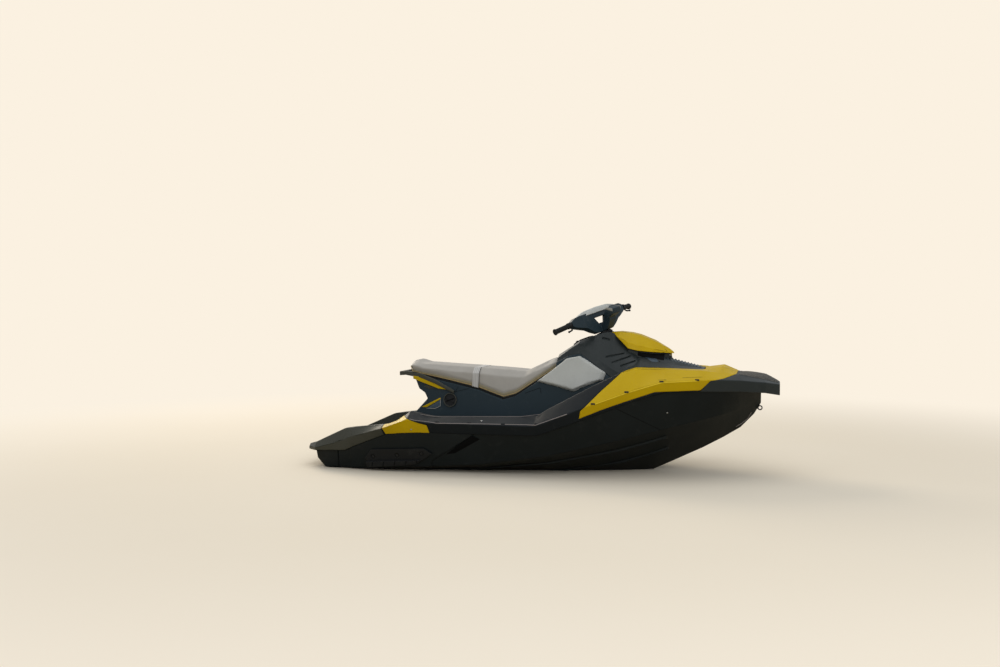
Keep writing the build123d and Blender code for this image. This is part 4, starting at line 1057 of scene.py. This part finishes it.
binding = bmesh.new()
loops = [seat_loop(binding, draw_in, rise) for draw_in, rise in BINDING_ROWS]
for lower, upper in zip(loops, loops[1:]):
    bmesh.ops.bridge_loops(binding, edges=lower + upper)
bmesh.ops.recalc_face_normals(binding, faces=binding.faces)
bmesh.ops.solidify(binding, geom=binding.faces[:], thickness=BINDING_THICK * MM)
bmesh.ops.recalc_face_normals(binding, faces=binding.faces)
# Its beige colour is painted warm bounce light on the seat's under-curve
dress(piece_from(binding, "seat_edge_painted_bounce"), binding_painted_bounce_beige, "craft", "seat_vinyl", sharp=50.0)
print("binding made of", len(BINDING_ROWS), "loops")

# %% Welt and band edge
welt = bmesh.new()
welt_row = [edge.verts[0].co.copy() for edge in seat_loop(welt, *WELT)]
welt.free()
# The paler welt is painted warm bounce light as well
bead("seat_welt_painted_bounce", [welt_row], WELT_RADIUS, welt_painted_bounce_tan, "craft", "seat_vinyl", closed=True)

BAND_EDGE_X = -391.0
# Columns: y, z of the band's section, from its lower end to the middle
BAND_SECTION = [(198, 525), (190, 575), (185, 617), (158, 635), (131, 652), (60, 652), (0, 652)]
band_row = [Vector((BAND_EDGE_X, y, z)) * MM for y, z in BAND_SECTION]
band_row += [Vector((BAND_EDGE_X, -y, z)) * MM for y, z in BAND_SECTION[-2::-1]]
# The dark line along the band's front edge is a painted shadow
bead("band_edge_painted_shadow", [band_row], THIN_LINE, seam_and_painted_shade_black, "craft", "strap_webbing")

# %% [markdown]
# ## Console, handle and lid trim
# The console carries a low black cover behind the steering neck with a small hook on it,
# the handle's pillar has a ribbed drain vent on each side, and the storage lid closes on a
# rubber gasket. Cover and hook are side outlines drawn out across the craft.

# %% Console cover and hook
COVER_LINE = [(224, 804), (268, 832), (326, 855), (324, 865), (266, 843), (221, 813)]
COVER_HALF = 84.0
HOOK_LINE = [(226, 812), (238, 820), (238, 832), (230, 832), (222, 824)]
HOOK_HALF = 14.0


def across(outline, half, eased_mm):
    """Solid from a side outline of (x, z) points, drawn out to both sides, in mm."""
    return thick_plate([(x, -half, z) for x, z in outline], (0, 2 * half, 0), eased_mm)


cover = piece_from(across(COVER_LINE, COVER_HALF, eased_mm=2.0), "console_cover")
dress(cover, black_moulding, "craft", "black_plastic")
hook = piece_from(across(HOOK_LINE, HOOK_HALF, eased_mm=1.5), "console_hook")
dress(hook, black_moulding, "craft", "black_plastic")
print("console cover and hook made")

# %% Side vents behind the handle
VENT = (40.0, 7.0, 3.0)          # long, wide, proud
VENT_AT = [(-755, 526), (-740, 520), (-725, 514)]
VENT_ALONG = (0.95, 0, 0.1)
vent_places = [
    frame_on(point, normal, VENT_ALONG)
    for x, z in VENT_AT for _, point, normal in on_both_sides("centre_tower", x, z)]
vent = bar_on(*VENT, eased_mm=1.5, segments=2)
copies(vent, vent_places, "handle_vents", fairing_moulding, "craft", "black_plastic")

# %% Lid gasket
# Columns: x, half width, height of the coaming's top
GASKET_LINE = [(596, 160, 783), (650, 153, 776), (743, 115, 766), (818, 50, 760)]
GASKET_RADIUS = 4.0
bead("lid_gasket", mirrored_row(GASKET_LINE), GASKET_RADIUS, seam_and_painted_shade_black, "craft", "black_plastic")

# %% [markdown]
# ## Thin plates on the sides
# On each flank of the tower, behind the round cover, a pale triangular plate with a yellow
# upper edge marks where a swimmer climbs back on. The same kind of plate, in black, is a
# painted shadow on a slanted band of the hull below a step, and painted shade on the coaming
# under the lid. Each plate's corners are dropped on the surface, and it is thickened through it.

# %% Side plates
# Columns: x, height of the coaming's top, height where it meets the hood
# Black plates on the coaming under the lid are painted shade
COAMING = [(650, 770, 746), (743, 758, 728), (812, 753, 716)]
COAMING_SHADE_PLATES = [
    (f"coaming_liner_{i}", "hood", [(x0, top0), (x1, top1), (x1, foot1), (x0, foot0)],
     1.2, seam_and_painted_shade_black, "black_plastic")
    for i, ((x0, top0, foot0), (x1, top1, foot1)) in enumerate(zip(COAMING, COAMING[1:]))]
# Columns: name, node, (x, z) corners, height over the surface in mm, finish, slot
SIDE_PLATES = COAMING_SHADE_PLATES + [
    # Black bands on the hull are a painted shadow below the front edge of the raised side pad
    ("hull_bands", "hull", [(-343, 250), (-290, 228), (-461, 132), (-523, 122)],
     1.4, seam_and_painted_shade_black, "black_plastic"),
    ("step_plates", "centre_tower", [(-752, 380), (-690, 381), (-656, 398), (-656, 436)],
     2.0, slate_pale_moulding, "blue_grey_plastic"),
    ("step_edges", "centre_tower", [(-790, 386), (-752, 386), (-654, 442), (-654, 453)],
     2.6, yellow_moulding, "yellow_plastic"),
]


def plate_through(corners, below, above, eased_mm):
    """Plate on surface points and normals, from below the surface to above it, in mm."""
    out = sum((normal for _, normal in corners), Vector()).normalized()
    return thick_plate([point / MM - out * below for point, _ in corners], out * (below + above), eased_mm)


for name, node, outline, proud, finish, slot in SIDE_PLATES:
    whole = bmesh.new()
    for side in BOTH:
        corners = [from_side(node, x, z, side) for x, z in outline]
        pour(whole, plate_through(corners, below=proud, above=proud, eased_mm=1.0))
    dress(piece_from(whole, name), finish, "craft", slot)
print(len(SIDE_PLATES), "pairs of plates made")

# %% Rims of the round covers
COVER_AT = (-584.0, 440.0)
RIM_RADIUS = 43.0
# Columns: out of the cover, radius, in mm
RIM = [(-3, 40.5), (0.6, 41), (1.6, 43), (0.6, 46), (-3, 46.5), (-3, 40.5)]
SLOT = (58.0, 7.0, 1.0)          # long, wide, proud
SLOT_ALONG = (0.94, 0, 0.34)
x, z = COVER_AT
rim_places, slot_places = [], []
for side in BOTH:
    aft, fore, low, high = (
        from_side("side_covers", x + dx, z + dz, side)[0]
        for dx, dz in ((-RIM_RADIUS, 0), (RIM_RADIUS, 0), (0, -RIM_RADIUS), (0, RIM_RADIUS)))
    out = (fore - aft).cross(high - low) * -side
    rim_places.append(frame_on((aft + fore + low + high) / 4, out, FORE))
    slot_places.append(frame_on(from_side("side_covers", x, z, side)[0], out, SLOT_ALONG))
copies(turned(RIM, steps=40), rim_places, "cover_rims", fairing_moulding, "craft", "black_plastic")
slit = bar_on(*SLOT, eased_mm=0.8)
copies(slit, slot_places, "cover_slots", seam_and_painted_shade_black, "craft", "black_plastic")

# %% Lid crease and hood facets
# The dark crease bead on the lid is painted shade along a facet line
CREASE = [(738, 46, 842), (828, 55, 772)]
CREASE_RADIUS = 1.4
bead("lid_crease_painted_shade", mirrored_row(CREASE), CREASE_RADIUS, painted_shade_yellow, "lid", "yellow_plastic")
# The pale blue-grey plates on the hood are a painted highlight on a facet beside the lid's tip
FACET = [(691, 145), (743, 190), (782, 166), (758, 109)]
facets = bmesh.new()
for side in BOTH:
    corners = [from_above("hood", x, side * y) for x, y in FACET]
    pour(facets, plate_through(corners, below=1.0, above=1.2, eased_mm=0.8))
dress(piece_from(facets, "hood_facets_painted_highlight"), slate_pale_moulding, "craft", "blue_grey_plastic")
print("crease and facets made")

# %% [markdown]
# ## Bumper tread
# A grid is stretched over the bumper's top, each of its points dropped on the surface, and
# then thickened, which makes a moulded tread that follows the bumper's own shape.

# %% Tread
# Columns: x, half width of the bumper's top
TREAD_ROWS = [(1284, 175), (1444, 150), (1522, 80)]
TREAD_THICK = 3.0 * MM
TREAD_PROUD = 1.5 * MM
TREAD_CROWN = 16.0      # how much its middle is raised, in mm
STEP_IN = 0.97          # a point past the edge moves in by this factor until it lands
bm = bmesh.new()
bmesh.ops.create_grid(bm, x_segments=16, y_segments=12, size=0.5)
for vertex in bm.verts:
    along, beside, _ = vertex.co
    x = TREAD_ROWS[0][0] + (along + 0.5) * (TREAD_ROWS[-1][0] - TREAD_ROWS[0][0])
    y = 2 * beside * on_table(TREAD_ROWS, x)[0]
    point = from_above("bow_bumper", x, y)[0]
    while point is None:
        y *= STEP_IN
        point = from_above("bow_bumper", x, y)[0]
    crown = (1 - (2 * along) ** 2) * (1 - (2 * beside) ** 2)
    vertex.co = point + Vector((0, 0, TREAD_CROWN * MM * crown))
before = max(v.co.z for v in bm.verts)
bmesh.ops.solidify(bm, geom=bm.faces[:], thickness=TREAD_THICK)
risen = max(v.co.z for v in bm.verts) - before
bmesh.ops.translate(bm, verts=bm.verts, vec=(0, 0, TREAD_PROUD - risen))
bmesh.ops.recalc_face_normals(bm, faces=bm.faces)
tread = piece_from(bm, "bumper_tread")
dress(tread, nonslip, "craft", "black_plastic")
print("tread", len(tread.data.polygons), "faces")

# %% [markdown]
# ## Embossed mats
# The mats' foam is pressed into a herringbone of low bars, which drain water and hold the
# feet. One bar is repeated, turned one way and the other in alternate lanes.

# %% Mat bars
MAT_BAR = (52.0, 8.0, 1.8)       # long, wide, proud
BAR_SLANT = 0.55
BAR_STEP = 24
# Columns: mat, first x, last x, lanes of y
MATS = [
    ("footwell_mat", "footwell_mats", -752, 40, [side * y for side in BOTH for y in (296, 351, 406)]),
    ("platform_mat", "platform_mat", -1385, -945, range(-330, 331, 60)),
]


def herringbone(node, x0, x1, lanes):
    """Frames for slanted bars on a mat, from x0 to x1, in lanes at given y."""
    places = []
    for lane, y in enumerate(lanes):
        slant = BAR_SLANT if lane % 2 else -BAR_SLANT
        for x in range(x0, x1, BAR_STEP):
            point, normal = from_above(node, x, y)
            if point is not None:
                places.append(frame_on(point, normal, (slant, 1, 0)))
    return places


for name, node, x0, x1, lanes in MATS:
    places = herringbone(node, x0, x1, lanes)
    copies(bar_on(*MAT_BAR, eased_mm=1.0), places, name + "_bars", mat_foam, "craft", "mat_foam")

# %% [markdown]
# ## Controls
# The bars are laid out on the steering column's own axes: x forward, y along the bar, z up
# the column. One matrix takes that layout to its place, parked turned to starboard. The
# grips are turned with soft ribs and a flange at each end, and the gauge has a dark bezel
# with a pale plate at each side that is a painted highlight on its side facets.

# %% Column axes
COLUMN_FOOT = (0.415, 0, 0.872)
COLUMN_RAKE, PARKED_TURN = -23.3, -29.5
COLUMN = (
    Matrix.Translation(COLUMN_FOOT)
    @ Matrix.Rotation(math.radians(COLUMN_RAKE), 4, "Y")
    @ Matrix.Rotation(math.radians(PARKED_TURN), 4, "Z"))
BAR_BENDS = (Vector((0, 285, 134)), Vector((-36, 405, 128)))


def grip_place(side):
    """Frame at the bar's end: X outwards along the grip."""
    inner, end = BAR_BENDS
    place = frame_on(end * MM, (end - inner).normalized(), FORE)
    return COLUMN @ Matrix.Diagonal((1, side, 1, 1)) @ place


print("port grip ends at", [round(v, 3) for v in grip_place(1).translation])

# %% Grips
GRIP_LENGTH = 104.0
RIB_STEP = 6.5
# Columns: along the grip, radius, in mm
grip_profile = [
    (-GRIP_LENGTH, 11.3), (-GRIP_LENGTH, 20.0), (-GRIP_LENGTH + 3, 20.5), (-GRIP_LENGTH + 6, 16.0)]
at = -GRIP_LENGTH + 9
while at < -6:
    grip_profile += [(at, 15.2), (at + 1.2, 16.8), (at + 3.4, 16.8), (at + 4.6, 15.2)]
    at += RIB_STEP
grip_profile += [(0, 15.4), (1, 19.6), (3, 20.6), (8, 20.6), (10, 18.5), (10, 0)]
whole = bmesh.new()
for side in BOTH:
    one = turned(grip_profile, steps=28)
    one.transform(grip_place(side))
    bmesh.ops.recalc_face_normals(one, faces=one.faces)
    pour(whole, one)
grips = piece_from(whole, "ribbed_grips")
dress(grips, grip_rubber, "steering", "grip_rubber")
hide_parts("grips")
print("grips", len(grips.data.polygons), "faces")

# %% Gauge bezel
POD_LINE = [(89, 122.5), (97, 98), (160, 101), (172, 132), (132, 155.5)]
POD_RIM = [(120, 150), (134, 157), (174, 133), (168, 117), (140, 135)]
BEZEL_HALF = 46.0
RIM_SUNK, RIM_THICK = 1.0, 2.5
bezel = across(POD_LINE, BEZEL_HALF, eased_mm=3.0)
bezel.normal_update()
dial = max(bezel.faces, key=lambda f: f.calc_area() if f.normal.x < -0.3 and f.normal.z > 0.3 else 0)
bmesh.ops.inset_region(bezel, faces=[dial], thickness=3.0 * MM, depth=-3.5 * MM, use_even_offset=True)
bezel.transform(COLUMN)
dress(piece_from(bezel, "gauge_bezel"), slate_dark_moulding, "steering", "black_plastic")
# The pale plates at the gauge's sides are a painted highlight
for side, name in SIDES:
    outline = [(x, side * (BEZEL_HALF - RIM_SUNK), z) for x, z in POD_RIM]
    rim = thick_plate(outline, (0, side * RIM_THICK, 0), eased_mm=0.8)
    rim.transform(COLUMN)
    dress(piece_from(rim, "gauge_rim_painted_highlight_" + name), bezel_grey, "steering", "black_plastic")
print("bezel made")

# %% Steering boot
# Columns: height along the column, radius, in mm
BOOT_FOLDS = [(-14, 60), (-2, 58), (10, 55)]
FOLD_OUT = 4.5
boot_profile = [(-22, 46), (-22, 62)]
for up, radius in BOOT_FOLDS:
    crest = radius + FOLD_OUT
    boot_profile += [(up - 5, radius), (up - 2, crest), (up + 2, crest), (up + 5, radius)]
boot_profile += [(20, 52), (24, 47), (24, 39)]
boot = turned(boot_profile + boot_profile[:1], steps=36)
boot.transform(COLUMN @ Matrix.Rotation(math.radians(-90), 4, "Y"))
bmesh.ops.recalc_face_normals(boot, faces=boot.faces)
dress(piece_from(boot, "steering_boot"), grip_rubber, "craft", "grip_rubber")
print("boot made of", len(BOOT_FOLDS), "folds")

# %% [markdown]
# ## Floor and light
# The floor is pale and stands at the water's surface, so the hull meets it as it meets the
# water. Seen by the camera it fades into the backdrop, and to other rays it is a warm mid
# tone, which throws the soft golden light under the overhangs that the water gives. The
# sky was bright above and behind, so the near side stands in gentle shade.

# %% Floor
SKY = linear("#FBF1E1")
GROUND, GROUND_PALE = linear("#F1E6D2"), linear("#F4EAD8")
BOUNCE = linear("#B3A78E")
CLOUD_M = 1.67
FADE_M = (2.2, 6.5)

floor_bm = bmesh.new()
bmesh.ops.create_grid(floor_bm, x_segments=1, y_segments=1, size=60.0)
floor = piece_from(floor_bm, "floor")
plaster, shader, place = start_finish("plaster_pale", Roughness=0.9, Specular_IOR_Level=0.15)
cloudy = add(plaster, "TexNoise", Vector=place, Scale=1 / CLOUD_M, Detail=3.0)
tone = add(plaster, "Mix", COLOUR, _0=cloudy.outputs["Fac"], _6=GROUND, _7=GROUND_PALE)
seen = add(plaster, "LightPath").outputs["Is Camera Ray"]
lit = add(plaster, "Mix", COLOUR, _0=seen, _6=BOUNCE, _7=tone.outputs[2])
feed(plaster, shader, Base_Color=lit.outputs[2])
glow = add(plaster, "Emission", Color=SKY, Strength=1.0)
away = add(plaster, "VectorMath", {"operation": "LENGTH"}, _0=place)
fade = add(
    plaster, "MapRange", {"interpolation_type": "SMOOTHSTEP"},
    Value=away.outputs["Value"], From_Min=FADE_M[0], From_Max=FADE_M[1])
shown = add(plaster, "Math", {"operation": "MULTIPLY"}, _0=fade.outputs[0], _1=seen)
mixed = add(plaster, "MixShader", _0=shown.outputs[0], _1=shader.outputs[0], _2=glow.outputs[0])
feed(plaster, plaster.node_tree.nodes["Material Output"], Surface=mixed.outputs[0])
floor.data.materials.append(plaster)
floor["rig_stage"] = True
print("floor made")

# %% Sky
# What lights the craft is a dim cool sky, and what the camera sees is the pale backdrop
world = bpy.data.worlds.new("studio")
world.use_nodes = True
bpy.context.scene.world = world
sky_light = feed(world, world.node_tree.nodes["Background"], Color=linear("#EEF1F4"), Strength=0.6)
backdrop = add(world, "Background", Color=SKY, Strength=1.0)
path = add(world, "LightPath").outputs
either = add(
    world, "Math", {"operation": "MAXIMUM"}, _0=path["Is Camera Ray"], _1=path["Is Transmission Ray"])
switch = add(world, "MixShader", _0=either.outputs[0], _1=sky_light.outputs[0], _2=backdrop.outputs[0])
feed(world, world.node_tree.nodes["World Output"], Surface=switch.outputs[0])
print("sky made")

# %% Lamps
# Columns: name, place and target in metres, size in metres, power in watts, colour
LAMPS = [
    ("back_left", (-7.0, 7.0, 6.0), (0, 0, 0.4), 5.0, 540.0, "#FFF2DE"),
    ("front_fill", (3.0, -6.0, 3.5), (0, 0, 0.4), 5.0, 90.0, "#FFFFFF"),
    ("top", (0.0, 0.0, 6.0), (0, 0, 0), 5.0, 60.0, "#FFFFFF"),
]
for name, lamp_at, target, size, power, colour in LAMPS:
    data = bpy.data.lights.new(name, "AREA")
    data.size = size
    data.energy = power
    data.color = linear(colour)[:3]
    lamp = bpy.data.objects.new(name, data)
    lamp.location = lamp_at
    lamp.rotation_euler = (Vector(target) - Vector(lamp_at)).to_track_quat("-Z", "Y").to_euler()
    bpy.context.scene.collection.objects.link(lamp)
print(len(LAMPS), "lamps placed")

# %% Colour management and hand-over
bpy.context.scene.view_settings.view_transform = "Standard"
low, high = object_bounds()
{"cad": [list(cad_low), list(cad_high)], "visual": [list(low), list(high)]}
print("visual box", [round(v, 3) for v in (*low, *high)])
